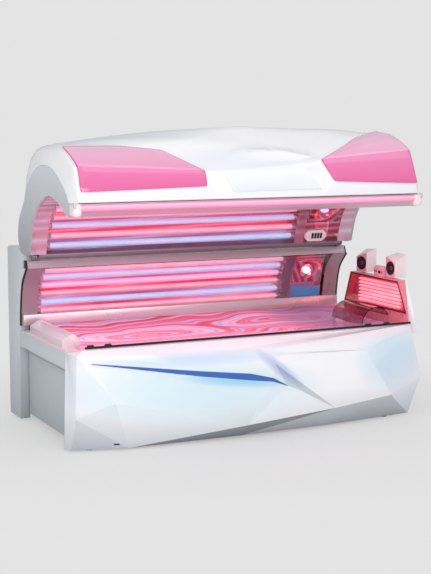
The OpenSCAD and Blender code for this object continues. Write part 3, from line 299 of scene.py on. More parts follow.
# A place pushed about by coloured noise, so that a regular pattern bends
def bent(tree, place, scale, detail, rough, pull):
    drift = put(tree, "ShaderNodeTexNoise", in_Vector=place, in_Scale=scale, in_Detail=detail,
                in_Roughness=rough)
    push = put(tree, "ShaderNodeVectorMath", operation="SCALE", in_Scale=pull)
    tree.links.new(drift.outputs["Color"], push.inputs[0])
    moved = put(tree, "ShaderNodeVectorMath", operation="ADD")
    tree.links.new(place, moved.inputs[0])
    tree.links.new(push.outputs[0], moved.inputs[1])
    return moved.outputs[0]


# Shader groups: inputs and outputs are colours ("c") or numbers ("f")
def newGroup(name, inputs, outputs):
    tree = bpy.data.node_groups.new(name, "ShaderNodeTree")
    kinds = {"c": "NodeSocketColor", "f": "NodeSocketFloat"}
    for socket, kind in inputs.items():
        tree.interface.new_socket(name=socket, in_out="INPUT", socket_type=kinds[kind])
    for socket, kind in outputs.items():
        tree.interface.new_socket(name=socket, in_out="OUTPUT", socket_type=kinds[kind])
    source = tree.nodes.new("NodeGroupInput")
    sink = tree.nodes.new("NodeGroupOutput")
    return tree, source.outputs, sink.inputs


# Moulded or painted surface: soft cloudy colour change, uneven gloss and a fine skin
skinLook = {"cloudScale": 2.2, "cloudDetail": 4.0, "cloudTint": [0.80, 0.82, 0.86, 1],
            "grainDetail": 3.0, "grainRough": 0.6}


def makeSkinGroup():
    tree, source, sink = newGroup(
        "mouldedSkin", {"Colour": "c", "Cloud": "f", "Rough": "f", "Spread": "f", "Grain": "f"},
        {"Colour": "c", "Rough": "f", "Height": "f"})
    place = objectPlace(tree)
    cloud = noiseOn(tree, place, skinLook["cloudScale"], skinLook["cloudDetail"])
    grain = noiseOn(tree, place, source["Grain"], skinLook["grainDetail"], skinLook["grainRough"])
    darker = mixColour(tree, 1.0, source["Colour"], skinLook["cloudTint"], "MULTIPLY")
    amount = maths(tree, "MULTIPLY", spread(tree, cloud, 0.35, 0.75, 0.0, 1.0), source["Cloud"])
    tree.links.new(mixColour(tree, amount, source["Colour"], darker), sink["Colour"])
    rough = maths(tree, "MULTIPLY_ADD", spread(tree, cloud, 0.3, 0.7, -0.5, 0.5),
                  source["Spread"], source["Rough"])
    tree.links.new(rough, sink["Rough"])
    tree.links.new(grain, sink["Height"])
    return tree


# Drawn aluminium: fine lines that run along X
drawnLook = {"stretch": (1.5, 240.0, 240.0), "lineTint": [0.72, 0.70, 0.72, 1],
             "patchScale": 3.0, "patchRough": (-0.05, 0.07)}


def makeBrushedGroup():
    tree, source, sink = newGroup("drawnLines", {"Colour": "c", "Rough": "f", "Depth": "f"},
                                  {"Colour": "c", "Rough": "f", "Height": "f"})
    place = objectPlace(tree)
    stretched = put(tree, "ShaderNodeMapping", in_Vector=place, in_Scale=drawnLook["stretch"])
    lines = noiseOn(tree, stretched.outputs["Vector"], 1.0, 4.0, 0.6)
    patches = noiseOn(tree, place, drawnLook["patchScale"], 2.0)
    dark = mixColour(tree, 1.0, source["Colour"], drawnLook["lineTint"], "MULTIPLY")
    amount = maths(tree, "MULTIPLY", spread(tree, lines, 0.35, 0.65, 0.0, 1.0), source["Depth"])
    tree.links.new(mixColour(tree, amount, source["Colour"], dark), sink["Colour"])
    rough = maths(tree, "ADD", spread(tree, patches, 0.3, 0.7, *drawnLook["patchRough"]),
                  source["Rough"])
    tree.links.new(rough, sink["Rough"])
    tree.links.new(lines, sink["Height"])
    return tree


# A colour that changes from one height to another; each use here is painted shade, darker lower
# down
def makeRiseGroup():
    tree, source, sink = newGroup("paintedShadeByHeight", {"Low": "c", "High": "c", "From": "f", "To": "f"},
                                  {"Colour": "c"})
    parts = put(tree, "ShaderNodeSeparateXYZ", in_Vector=objectPlace(tree))
    step = spread(tree, parts.outputs["Z"], source["From"], source["To"], 0.0, 1.0)
    tree.links.new(mixColour(tree, step, source["Low"], source["High"]), sink["Colour"])
    return tree


# Warped bands of lamp light, as seen in the reflectors behind the tubes
swirlTones = [(0.0, "c2283f"), (0.18, "ee5a74"), (0.36, "f79bb4"), (0.5, "fdeaf3"),
              (0.62, "c9cff4"), (0.76, "f3a4bd"), (0.9, "ea4d66"), (1.0, "a92138")]


def makeSwirlGroup():
    tree, source, sink = newGroup("lampSwirl", {"Size": "f", "Warp": "f", "Stretch": "f"},
                                  {"Colour": "c"})
    shape = put(tree, "ShaderNodeCombineXYZ", in_X=source["Stretch"], in_Y=1.0, in_Z=1.0)
    scaled = put(tree, "ShaderNodeVectorMath", operation="MULTIPLY")
    tree.links.new(objectPlace(tree), scaled.inputs[0])
    tree.links.new(shape.outputs[0], scaled.inputs[1])
    warped = bent(tree, scaled.outputs[0], 1.0, 1.0, 0.3, source["Warp"])
    wave = put(tree, "ShaderNodeTexWave", wave_type="BANDS", bands_direction="Y",
               wave_profile="SIN", in_Distortion=0.6, in_Detail=0.6, in_Detail_Scale=0.5,
               in_Detail_Roughness=0.3, in_Scale=source["Size"], in_Vector=warped)
    tree.links.new(toneRamp(tree, wave.outputs["Fac"], swirlTones), sink["Colour"])
    return tree


# Loops of lamp light in the bench sheet: nested ovals round two places, of uneven widths
loopLook = {
    "places": [(-0.44, 0.04, 0.60, 0.24), (0.50, 0.22, 0.60, 0.20)],  # x, y, reach x, reach y
    "shift": 0.13,  # moves both places along X and Y, against the drift's push
    "driftScale": 1.9, "driftPull": 0.36,
    "blend": 0.35,  # how softly the two sets of ovals meet
    "tones": [(0.28, "5f1024"), (0.35, "c93654"), (0.41, "e2607f"), (0.45, "f6c6d8"),
              (0.475, "b4c6f6"), (0.505, "93abea"), (0.525, "ec7897"), (0.58, "d8405f"),
              (0.64, "f1a3bd"), (0.69, "a0203a")],
}


def makeLoopGroup():
    tree, source, sink = newGroup("lampLoops", {"Rings": "f"}, {"Colour": "c"})
    warped = bent(tree, objectPlace(tree), loopLook["driftScale"], 1.5, 0.4,
                  loopLook["driftPull"])
    parts = put(tree, "ShaderNodeSeparateXYZ", in_Vector=warped)
    ovals = []
    for x, y, reachX, reachY in loopLook["places"]:
        across = maths(tree, "SUBTRACT", parts.outputs["X"], x + loopLook["shift"])
        along = maths(tree, "SUBTRACT", parts.outputs["Y"], y + loopLook["shift"])
        far = maths(tree, "ADD", squareShare(tree, across, reachX),
                    squareShare(tree, along, reachY))
        ovals.append(maths(tree, "SQRT", far))
    nearest = maths(tree, "SMOOTH_MIN", ovals[0], ovals[1], loopLook["blend"])
    rings = put(tree, "ShaderNodeTexNoise", noise_dimensions="1D", in_Scale=1.0, in_Detail=1.6,
                in_Roughness=0.5, in_W=maths(tree, "MULTIPLY", nearest, source["Rings"]))
    tree.links.new(toneRamp(tree, rings.outputs["Fac"], loopLook["tones"]), sink["Colour"])
    return tree


# Soft elliptic mask round a place in the X-Z plane, 1 at its middle and 0 at its edge, for spots of
# painted light and shade
def makeGlowGroup():
    tree, source, sink = newGroup("softSpot", {"X": "f", "Z": "f", "Reach X": "f", "Reach Z": "f",
                                  "Slope": "f"}, {"Mask": "f"})
    parts = put(tree, "ShaderNodeSeparateXYZ", in_Vector=objectPlace(tree))
    across = maths(tree, "SUBTRACT", parts.outputs["X"], source["X"])
    line = maths(tree, "MULTIPLY_ADD", across, source["Slope"], source["Z"])
    above = maths(tree, "SUBTRACT", parts.outputs["Z"], line)
    far = maths(tree, "ADD", squareShare(tree, across, source["Reach X"]),
                squareShare(tree, above, source["Reach Z"]))
    tree.links.new(spread(tree, far, 0.0, 1.0, 1.0, 0.0), sink["Mask"])
    return tree


skinGroup = makeSkinGroup()
swirlGroup = makeSwirlGroup()
glowGroup = makeGlowGroup()
brushedGroup = makeBrushedGroup()
loopGroup = makeLoopGroup()
riseGroup = makeRiseGroup()


# Materials
def newMaterial(name, **sockets):
    mat = bpy.data.materials.new(name)
    mat.use_nodes = True
    shader = mat.node_tree.nodes["Principled BSDF"]
    for key, value in sockets.items():
        shader.inputs[key.replace("_", " ")].default_value = value
    return mat, mat.node_tree, shader


# Joins a group's colour, gloss and height to the shader
def joinShader(tree, shader, group, bump):
    tree.links.new(group.outputs["Colour"], shader.inputs["Base Color"])
    tree.links.new(group.outputs["Rough"], shader.inputs["Roughness"])
    raised = put(tree, "ShaderNodeBump", in_Strength=bump, in_Distance=0.0004,
                 in_Height=group.outputs["Height"])
    tree.links.new(raised.outputs["Normal"], shader.inputs["Normal"])


def riseNode(tree, low, high, zLow, zHigh):
    return put(tree, "ShaderNodeGroup", node_tree=riseGroup, in_Low=low, in_High=high,
               in_From=zLow, in_To=zHigh).outputs["Colour"]


# The rise is painted shade, darker at the foot: (colour at the foot, height of the foot,
# height where the main colour is reached)
def moulded(name, colour, rough, cloud, spreadBy, grain, bump, paintedShadeRise=None, **sockets):
    mat, tree, shader = newMaterial(name, **sockets)
    tone = riseNode(tree, paintedShadeRise[0], colour, paintedShadeRise[1], paintedShadeRise[2]) if paintedShadeRise else colour
    joinShader(tree, shader, put(
        tree, "ShaderNodeGroup", node_tree=skinGroup, in_Colour=tone, in_Cloud=cloud,
        in_Rough=rough, in_Spread=spreadBy, in_Grain=grain), bump)
    return mat


def drawnMetal(name, colour, rough, depth, metallic=0.9):
    mat, tree, shader = newMaterial(name, Metallic=metallic)
    joinShader(tree, shader, put(tree, "ShaderNodeGroup", node_tree=brushedGroup,
                                 in_Colour=colour, in_Rough=rough, in_Depth=depth), 0.12)
    return mat


# Moulded paint with painted light and shade: darker towards the foot, spots each (tone, x, z, reach
# x, reach z, slope), and the tint attribute from paintFacing
def paintedLightAndShade(name, low, colour, zLow, zHigh, lightAndShadeSpots, rough, **sockets):
    mat, tree, shader = newMaterial(name, **sockets)
    tone = riseNode(tree, low, colour, zLow, zHigh)
    for tint, x, z, reachX, reachZ, slope in lightAndShadeSpots:
        spot = put(tree, "ShaderNodeGroup", node_tree=glowGroup, in_X=x, in_Z=z,
                   in_Reach_X=reachX, in_Reach_Z=reachZ, in_Slope=slope)
        tone = mixColour(tree, spot.outputs["Mask"], tone, tint)
    shadeByFacing = put(tree, "ShaderNodeAttribute", attribute_name="tint")
    tone = mixColour(tree, 1.0, tone, shadeByFacing.outputs["Color"], "MULTIPLY")
    joinShader(tree, shader, put(
        tree, "ShaderNodeGroup", node_tree=skinGroup, in_Colour=tone, in_Cloud=0.0,
        in_Rough=rough, in_Spread=0.03, in_Grain=60.0), 0.02)
    return mat


glossWhite = moulded("glossWhite", shade("f4f5fa"), 0.22, 0.10, 0.08, 60.0, 0.02,
                     Coat_Weight=0.6, Coat_Roughness=0.06)
# Fascia: painted shade darker towards the foot, spots of painted blue light, painted shade on the
# wedge and painted pink lamp light along the top
fasciaWhite = paintedLightAndShade("fasciaWhite", shade("d3d6dc"), shade("fafafd"), 0.0, 0.24, [
    (shade("dbf1f7"), -0.42, 0.31, 0.85, 0.22, -0.07),
    (shade("d2e4f8"), -0.50, 0.498, 0.68, 0.055, -0.03),
    (shade("dcf0fc"), 0.90, 0.39, 0.30, 0.22, 0.0),
    (shade("c0ccf0"), 0.10, 0.392, 0.17, 0.05, -0.72),
    (shade("a6def7"), -0.19, 0.338, 0.36, 0.035, -0.13),
    (shade("fdeaf2"), 0.0, 0.600, 2.4, 0.10, 0.0)], 0.25, Coat_Weight=0.6, Coat_Roughness=0.06)
# Canopy: painted shade a little darker towards its lower edge, with spots of painted shade in the
# middle and on the top towards the foot end
canopyWhite = paintedLightAndShade("canopyWhite", shade("eeeef4"), shade("fafafc"), 1.30, 1.50, [
    (shade("ebebf2"), -0.05, 1.60, 0.55, 0.10, 0.0),
    (shade("dee0e4"), -0.80, 1.742, 0.80, 0.060, 0.080)], 0.22,
    Coat_Weight=0.6, Coat_Roughness=0.06)
# Pink windows as a shaded copy and a lit copy, both paler towards the top: painted light and shade
windowShaded = paintedLightAndShade("windowShaded", shade("e8609f"), shade("ec80b4"), 1.43, 1.60, [], 0.14,
                     Coat_Weight=0.7, Coat_Roughness=0.04)
windowLit = paintedLightAndShade("windowLit", shade("f196c2"), shade("f7b9d7"), 1.56, 1.70, [], 0.14,
                     Coat_Weight=0.7, Coat_Roughness=0.04)
# Grey ends and rings, darker towards the foot as painted shade
endGrey = moulded("endGrey", shade("d3dade"), 0.42, 0.2, 0.1, 700.0, 0.06,
                  paintedShadeRise=(shade("b4bdc1"), 0.0, 0.55))
ringGrey = moulded("ringGrey", shade("d9dde1"), 0.38, 0.15, 0.1, 700.0, 0.05,
                   paintedShadeRise=(shade("a9abb0"), 1.05, 1.55))
blush = moulded("blush", shade("f0d9e0"), 0.3, 0.15, 0.1, 300.0, 0.04, Coat_Weight=0.3)
salmon = moulded("salmon", shade("f48a98"), 0.3, 0.3, 0.12, 600.0, 0.05, Coat_Weight=0.3)
softPink = moulded("softPink", shade("f6aebb"), 0.35, 0.3, 0.12, 500.0, 0.06)
maroon = moulded("maroon", shade("3a0d14"), 0.7, 0.6, 0.2, 900.0, 0.3)
blackPlastic = moulded("blackPlastic", shade("17131a"), 0.42, 0.4, 0.2, 900.0, 0.15)
rubber = moulded("rubber", shade("241c22"), 0.75, 0.5, 0.2, 1200.0, 0.3)
steel = drawnMetal("steel", shade("a7adb4"), 0.38, 0.5)
railMauve = drawnMetal("railMauve", shade("e2ccd4"), 0.32, 0.45, 0.55)
railDark = drawnMetal("railDark", shade("94838c"), 0.36, 0.5, 0.6)
bandMauve = moulded("bandMauve", shade("b39aa5"), 0.3, 0.3, 0.1, 400.0, 0.05, Metallic=0.35)
sheetSteel = moulded("sheetSteel", shade("b9bfc1"), 0.45, 0.3, 0.15, 800.0, 0.1)
paleMauve = drawnMetal("paleMauve", shade("e9d5db"), 0.3, 0.4, 0.55)
speakerWhite = moulded("speakerWhite", shade("fbe9ec"), 0.3, 0.1, 0.1, 500.0, 0.04)
blueGlass = moulded("blueGlass", shade("5a9fd2"), 0.12, 0.3, 0.08, 40.0, 0.02,
                    Emission_Color=shade("4f94cc"), Emission_Strength=0.26)
socketWhite = moulded("socketWhite", shade("e9e4e8"), 0.4, 0.2, 0.1, 700.0, 0.05)
capSteel = drawnMetal("capSteel", shade("ead7de"), 0.3, 0.3, 0.5)


# Dusty cloud in the roughness
def dusty(tree, shader, low, high):
    haze = noiseOn(tree, objectPlace(tree), 3.0, 4.0)
    tree.links.new(spread(tree, haze, 0.3, 0.8, low, high), shader.inputs["Roughness"])


# Clear acrylic: the colour stays on the shader
def acrylic(name, tint, rough):
    mat, tree, shader = newMaterial(name, Base_Color=tint, Transmission_Weight=1.0, IOR=1.3)
    dusty(tree, shader, 0.0, rough)
    return mat


# Reflector or sheet that carries the bright bands of the lamps round it
def swirled(name, tint, size, warp, stretch, strength, share=0.35, **sockets):
    mat, tree, shader = newMaterial(name, Emission_Strength=strength, **sockets)
    swirl = put(tree, "ShaderNodeGroup", node_tree=swirlGroup, in_Size=size, in_Warp=warp,
                in_Stretch=stretch).outputs["Colour"]
    tree.links.new(swirl, shader.inputs["Emission Color"])
    tree.links.new(mixColour(tree, share, tint, swirl), shader.inputs["Base Color"])
    dusty(tree, shader, 0.03, 0.09)
    return mat


# Bench sheet: the loops, a cooler painted shade by the headrest, half see-through.
# The headrest shade is (tone, x, z, reach x, reach z, share).
def loopedSheet(name, tint, rings, strength, headrestShade, **sockets):
    mat, tree, shader = newMaterial(name, Emission_Strength=strength, **sockets)
    loops = put(tree, "ShaderNodeGroup", node_tree=loopGroup, in_Rings=rings)
    tone, x, z, reachX, reachZ, share = headrestShade
    spot = put(tree, "ShaderNodeGroup", node_tree=glowGroup, in_X=x, in_Z=z, in_Reach_X=reachX,
               in_Reach_Z=reachZ)
    dim = maths(tree, "MULTIPLY", spot.outputs["Mask"], share)
    seen = mixColour(tree, dim, loops.outputs["Colour"], tone)
    tree.links.new(seen, shader.inputs["Emission Color"])
    tree.links.new(mixColour(tree, 0.45, tint, seen), shader.inputs["Base Color"])
    dusty(tree, shader, 0.02, 0.07)
    return mat


clearSheet = acrylic("clearSheet", shade("fbeef6"), 0.05)
headGlass = acrylic("headGlass", shade("ffc2cd"), 0.05)
restGlass = acrylic("restGlass", shade("c59a9f"), 0.12)
benchSheetMat = loopedSheet("benchSheet", shade("e78fac"), 4.2, 0.36,
                            (shade("4a4f80"), 0.74, 0.58, 0.36, 0.4, 0.75),
                            Transmission_Weight=0.42, IOR=1.2, Specular_IOR_Level=0.3)
benchMirror = swirled("benchMirror", shade("d8455f"), 0.5, 3.6, 1.1, 0.36, Metallic=0.6)
wallMirror = swirled("wallMirror", shade("f7c0ce"), 6.0, 0.5, 0.08, 0.18, Metallic=0.75)
dishMirror = swirled("dishMirror", shade("c98296"), 5.0, 1.6, 1.0, 0.16, Metallic=0.8)
# Canopy bands: painted reflection of the lamps in long streaks
streakedReflection = swirled("streakedReflection", shade("cfc0cd"), 4.5, 0.25, 0.1, 0.07, 0.2, Metallic=0.35)


# Lamp glass: each tube has its own tint in the mesh attribute, brighter along the middle as a
# painted highlight
def lampGlass():
    mat, tree, shader = newMaterial("lampGlass", Roughness=0.18, Coat_Weight=0.5,
                                    Emission_Strength=0.55)
    tint = put(tree, "ShaderNodeAttribute", attribute_name="tint")
    haze = noiseOn(tree, objectPlace(tree), 9.0)
    pale = mixColour(tree, spread(tree, haze, 0.3, 0.7, 0.0, 0.12), tint.outputs["Color"],
                     [1.0, 0.92, 0.97, 1])
    tree.links.new(pale, shader.inputs["Base Color"])
    tree.links.new(pale, shader.inputs["Emission Color"])
    return mat


# Lit surface whose colour drifts towards a deeper one
def glowing(name, colour, deep, strength):
    mat, tree, shader = newMaterial(name, Emission_Strength=strength, Coat_Weight=0.5)
    haze = noiseOn(tree, objectPlace(tree), 4.0)
    mixed = mixColour(tree, spread(tree, haze, 0.3, 0.7, 0.0, 1.0), colour, deep)
    tree.links.new(mixed, shader.inputs["Base Color"])
    tree.links.new(mixed, shader.inputs["Emission Color"])
    tree.links.new(spread(tree, haze, 0.3, 0.7, 0.25, 0.35), shader.inputs["Roughness"])
    return mat


lampMat = lampGlass()
# Handle tube: deeper pink below and paler above, as painted shade and painted highlight
tubeBottom, tubeTop = (corner.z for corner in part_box("handle_light_tube"))
tubePink = moulded("tubePink", shade("fbd9e8"), 0.2, 0.1, 0.06, 60.0, 0.02,
                   paintedShadeRise=(shade("f07fb2"), tubeBottom, tubeTop), Coat_Weight=0.6,
                   Emission_Color=shade("f286b6"), Emission_Strength=0.22)
bulbGlow = glowing("bulbGlow", shade("fff4fb"), shade("ffe2f0"), 2.2)
bulbBlue = glowing("bulbBlue", shade("d8e8ff"), shade("b9d2fb"), 1.0)
grooveBlue = glowing("grooveBlue", shade("2460ae"), shade("2356a2"), 0.30)
headLampPink = glowing("headLampPink", shade("ffd0d8"), shade("ffb9c6"), 1.1)
print("materials made")


# Turning CAD nodes into finished pieces
def faceValues(mesh, key):
    values = np.empty(len(mesh.polygons) * 3)
    mesh.polygons.foreach_get(key, values)
    return values.reshape(-1, 3)


# Each face takes painted light and shade from the way it faces: (way, no share, full share, tint)
# for each rule
def paintFacing(mesh, rules):
    normals = faceValues(mesh, "normal")
    counts = np.empty(len(mesh.polygons), int)
    mesh.polygons.foreach_get("loop_total", counts)
    tints = np.ones((len(normals), 4))
    for way, none, full, tone in rules:
        share = np.clip((normals @ np.array(way, float) - none) / (full - none), 0, 1)[:, None]
        tints *= 1 - share + share * np.array(shade(tone))
    layer = mesh.color_attributes.new("tint", "FLOAT_COLOR", "CORNER")
    layer.data.foreach_set("color", np.repeat(tints, counts, 0).ravel())


meshRules = {
    "merge": 2e-5,     # corners nearer than this become one
    "flat": 0.3,       # degrees: flatter faces are joined where nothing is rounded
    "pair": (12, 60),  # degrees: triangles that pair up before rounding, by face and by shape
    "hold": 0.9,       # how firmly a crisp edge is held while the rest is rounded
    "bevelSteps": 2,
}


# A merged copy of a node's mesh. Edges sharper than crease degrees stay crisp. choose gives
# each face its material slot from the faces' normals and middles.
def refined(name, pieceName, mats, crease=30.0, levels=0, bevel=0.0, shadeByFacing=None, choose=None):
    mesh = bpy.data.meshes.new(pieceName)
    bm = bmesh.new()
    bm.from_mesh(nodes[name].data)
    bmesh.ops.remove_doubles(bm, verts=bm.verts, dist=meshRules["merge"])
    if levels:
        byFace, byShape = (math.radians(angle) for angle in meshRules["pair"])
        bmesh.ops.join_triangles(bm, faces=bm.faces, angle_face_threshold=byFace,
                                 angle_shape_threshold=byShape)
    else:
        bmesh.ops.dissolve_limit(bm, angle_limit=math.radians(meshRules["flat"]),
                                 verts=bm.verts, edges=bm.edges)
    layer = bm.edges.layers.float.new("crease_edge")
    limit = math.radians(crease)
    for edge in bm.edges:
        if len(edge.link_faces) != 2 or edge.calc_face_angle(0.0) > limit:
            edge[layer] = meshRules["hold"]
    for face in bm.faces:
        face.smooth = True
    bm.to_mesh(mesh)
    bm.free()
    # Painted light and shade on each face by the way it looks
    if shadeByFacing:
        paintFacing(mesh, shadeByFacing)
    if choose:
        chosen = choose(faceValues(mesh, "normal"), faceValues(mesh, "center")).astype(int)
        mesh.polygons.foreach_set("material_index", chosen)
    piece = bpy.data.objects.new(pieceName, mesh)
    bpy.context.scene.collection.objects.link(piece)
    for mat in mats:
        mesh.materials.append(mat)
    if not levels and not bevel:
        mesh.set_sharp_from_angle(angle=limit)
    if levels:
        sub = piece.modifiers.new("round", "SUBSURF")
        sub.levels = sub.render_levels = levels
        sub.use_limit_surface = True
    if bevel:
        soft = piece.modifiers.new("softEdges", "BEVEL")
        soft.width = bevel
        soft.segments = meshRules["bevelSteps"]
        soft.limit_method = "ANGLE"
        soft.angle_limit = limit
        soft.harden_normals = True
    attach(piece, bodyOf[name])
    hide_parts(name)


def dress(name, mat):
    mesh = nodes[name].data
    mesh.materials.clear()
    mesh.materials.append(mat)


# Nodes that keep their CAD mesh, by finish
plainFinish = {
    "base_frame": steel, "bench_reflector": benchMirror, "canopy_reflector": wallMirror,
    "ballast_units": sheetSteel, "electrical_box": sheetSteel,
    "fan_housing": blackPlastic, "fan_rotor": blackPlastic, "seals": rubber, "hinge_pins": steel,
    "spring_cylinders": blackPlastic, "spring_rods": steel, "fascia_light_strip": grooveBlue,
}
for name, mat in plainFinish.items():
    dress(name, mat)

# Nodes that get softened edges: node, piece, finish, bevel width, crease angle
softened = [
    ("leveling_feet", "levelFeet", rubber, 0.0015, 30),
    ("base_lamp_holders", "baseHolders", socketWhite, 0.0015, 30),
    ("canopy_lamp_holders", "canopyHolders", socketWhite, 0.0015, 30),
    ("canopy_face_unit", "canopyUnit", dishMirror, 0.0015, 30),
    ("end_bands", "endBeams", endGrey, 0.004, 30),
    ("end_panels", "lowerPanels", endGrey, 0.002, 30),
    ("left_tower_cover", "leftTower", endGrey, 0.004, 30),
    ("right_tower_cover", "rightTower", endGrey, 0.004, 30),
    ("rear_cover", "rearSheet", sheetSteel, 0.001, 30),
    ("end_mouldings", "footMoulding", blush, 0.003, 20),
    ("mid_rail", "midRail", railMauve, 0.002, 30),
    ("lower_rail", "lowerRail", paleMauve, 0.002, 30),
    ("head_housing", "headHousing", salmon, 0.003, 25),
    ("head_outer_skin", "headSkin", glossWhite, 0.003, 25),
    ("audio_console", "audioConsole", softPink, 0.002, 30),
    ("volume_knob", "volumeKnob", blackPlastic, 0.0008, 30),
    ("badge_panel", "badgePlate", glossWhite, 0.0012, 25),
    ("handle_rail", "handleRail", railMauve, 0.001, 30),
    ("handle_light_tube", "handleTube", tubePink, 0.001, 30),
    ("canopy_rear_rail", "rearRail", railDark, 0.001, 30),
    ("control_panel", "controlPlate", speakerWhite, 0.0015, 30),
]
for name, pieceName, mat, bevel, crease in softened:
    refined(name, pieceName, [mat], crease=crease, bevel=bevel)

# Painted light and shade for paintFacing, by the way that a face looks
fasciaFacing = [((0, 0, -1), 0.2, 0.7, "8b8f95"), ((0, 0, 1), 0, 0.9, "fdf7fa"),
                ((1, 0, 0), 0, 0.5, "f2f5fd"), ((-1, 0, 0), 0, 0.5, "f4f6fa")]
canopyFacing = [((0, 0, -1), 0, 0.5, "c9ccd4")]
windowFacing = [((-1, 0, 0), 0, 0.5, "f2c4dc"), ((0, 1, 0), 0, 0.7, "f2c4dc")]

# Loudspeakers: the faces towards the user are pink
speakerTurn = {"speaker_left": 11.0, "speaker_right": 3.0}  # degrees about Z, as in the CAD
for name, pieceName in (("speaker_left", "speakerRear"), ("speaker_right", "speakerFront")):
    front = np.array([-math.cos(math.radians(speakerTurn[name])),
                      -math.sin(math.radians(speakerTurn[name])), 0])
    refined(name, pieceName, [speakerWhite, softPink], crease=25, bevel=0.003,
            choose=lambda n, m, front=front: n @ front > 0.8)

# Side unit: the dish above, the blue glass below
unitBoxes = solidBoxes("side_face_unit")
unitBoxes = unitBoxes[np.argsort(-unitBoxes[:, 1, 2])]
unitSplit = (unitBoxes[0][0][2] + unitBoxes[1][1][2]) / 2
refined("side_face_unit", "sideUnit", [dishMirror, blueGlass], crease=30, bevel=0.0015,
        choose=lambda n, m: m[:, 2] < unitSplit)
refined("side_reflector", "wallReflector", [wallMirror, sheetSteel], crease=20,
        choose=lambda n, m: n[:, 1] > 0.2)
refined("front_fascia", "fasciaShell", [fasciaWhite], crease=4, bevel=0.003, shadeByFacing=fasciaFacing)
for i in range(1, 5):
    refined(f"pane_lock_{i}", f"paneLock{i}", [blackPlastic], bevel=0.0012)
    refined(f"rocker_key_{i}", f"rockerKey{i}", [blackPlastic], bevel=0.0012)

# Sheets and bands round the lamps
sheets = [
    ("bench_pane", "benchSheet", benchSheetMat), ("side_pane", "sideSheet", clearSheet),
    ("canopy_pane", "canopySheet", clearSheet), ("head_window", "headWindow", headGlass),
    ("headrest", "headRest", restGlass), ("side_bands", "sideBands", bandMauve),
    ("canopy_bands", "canopyBands", streakedReflection),
]
for name, pieceName, mat in sheets:
    refined(name, pieceName, [mat])
refined("canopy_shell", "canopySkin", [canopyWhite], crease=5, levels=2, shadeByFacing=canopyFacing)
# Window faces that look up take the lit copy and the rest take the shaded one: painted light and
# shade
refined("canopy_windows", "pinkWindows", [windowShaded, windowLit], crease=9, levels=2,
        shadeByFacing=windowFacing, choose=lambda n, m: n[:, 2] > 0.6)
dress("canopy_frame", ringGrey)
print("nodes dressed")

# Lamp tubes: tones repeated along each bank, from the top in the side wall, from the front in
# the bench and from the rear in the canopy
lampTones = {
    "side_lamps": ["f4a0bd", "9fcaf8", "e79ccc", "ea6480", "8fd2ff", "f07a94", "ea5c78"],
    "canopy_lamps": ["86d2ff", "f07a94", "a6c6f6", "ec6480", "f2a0bc"],
    "bench_lamps": ["f0607f", "9fb4f4", "f48aae", "e8405f"],
}
lampLook = {
    "sides": 20,
    "along": [0.0, 0.0012, 0.020, 0.0212, 0.030, 0.075, 0.30],  # stations from each end
    "inset": [0.003, 0.0003, 0.0002, 0.0009, 0.0006, 0.0006, 0.0006],  # off the radius there
    "capBands": 3,
    # The bright line along each tube is a painted highlight
    "coreHighlight": (4, 0.55, "fff4fa"),  # power, share and tone of the bright line along a tube
}


# A tube with a steel cap at each end. inward is the way in Y and Z that its bright line, a painted
# highlight, faces.
def lampPart(low, high, tone, inward):
    radius = (high[2] - low[2]) / 2
    length = high[0] - low[0]
    profile = [(a, radius - b) for a, b in zip(lampLook["along"], lampLook["inset"])]
    profile += [(length - a, r) for a, r in reversed(profile)]
    cap = [1] * lampLook["capBands"]
    slots = cap + [0] * (len(profile) - 1 - 2 * len(cap)) + cap
    points, faces, _ = turned(profile, lampLook["sides"], slots)
    away = points[:, 1:] / np.linalg.norm(points[:, 1:], axis=1)[:, None]
    power, share, highlightTone = lampLook["coreHighlight"]
    coreHighlight = np.clip(away @ np.array(inward), 0, 1)[:, None] ** power * share
    tints = (1 - coreHighlight) * np.array(shade(tone)) + coreHighlight * np.array(shade(highlightTone))
    return points + np.array([low[0], (low[1] + high[1]) / 2, (low[2] + high[2]) / 2]), faces, tints


# One bank in the CAD tubes' places: order ranks them, inward gives the way of a bright line, a
# painted highlight
def lampBank(name, pieceName, order, inward):
    boxes = solidBoxes(name)
    tones = lampTones[name]
    parts = []
    for k, (low, high) in enumerate(boxes[np.argsort(order(boxes.mean(1)))]):
        way = np.array(inward((low + high) / 2))
        parts.append(lampPart(low, high, tones[k % len(tones)], way / np.linalg.norm(way)))
    makePiece(pieceName, parts, [lampMat, capSteel], bodyOf[name], [name])
    print(pieceName, len(parts), "tubes")


ringLow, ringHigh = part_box("canopy_frame")
archY = (ringLow.y + ringHigh.y) / 2 - 0.05  # middle of the canopy's arch, at rest
archZ = 1.18
lampBank("side_lamps", "sideTubes", lambda m: -m[:, 2], lambda m: (-1.0, 0.25))
lampBank("bench_lamps", "benchTubes", lambda m: m[:, 1], lambda m: (0.0, 1.0))
lampBank("canopy_lamps", "canopyTubes", lambda m: -m[:, 1],
         lambda m: (archY - m[1], archZ - m[2]))

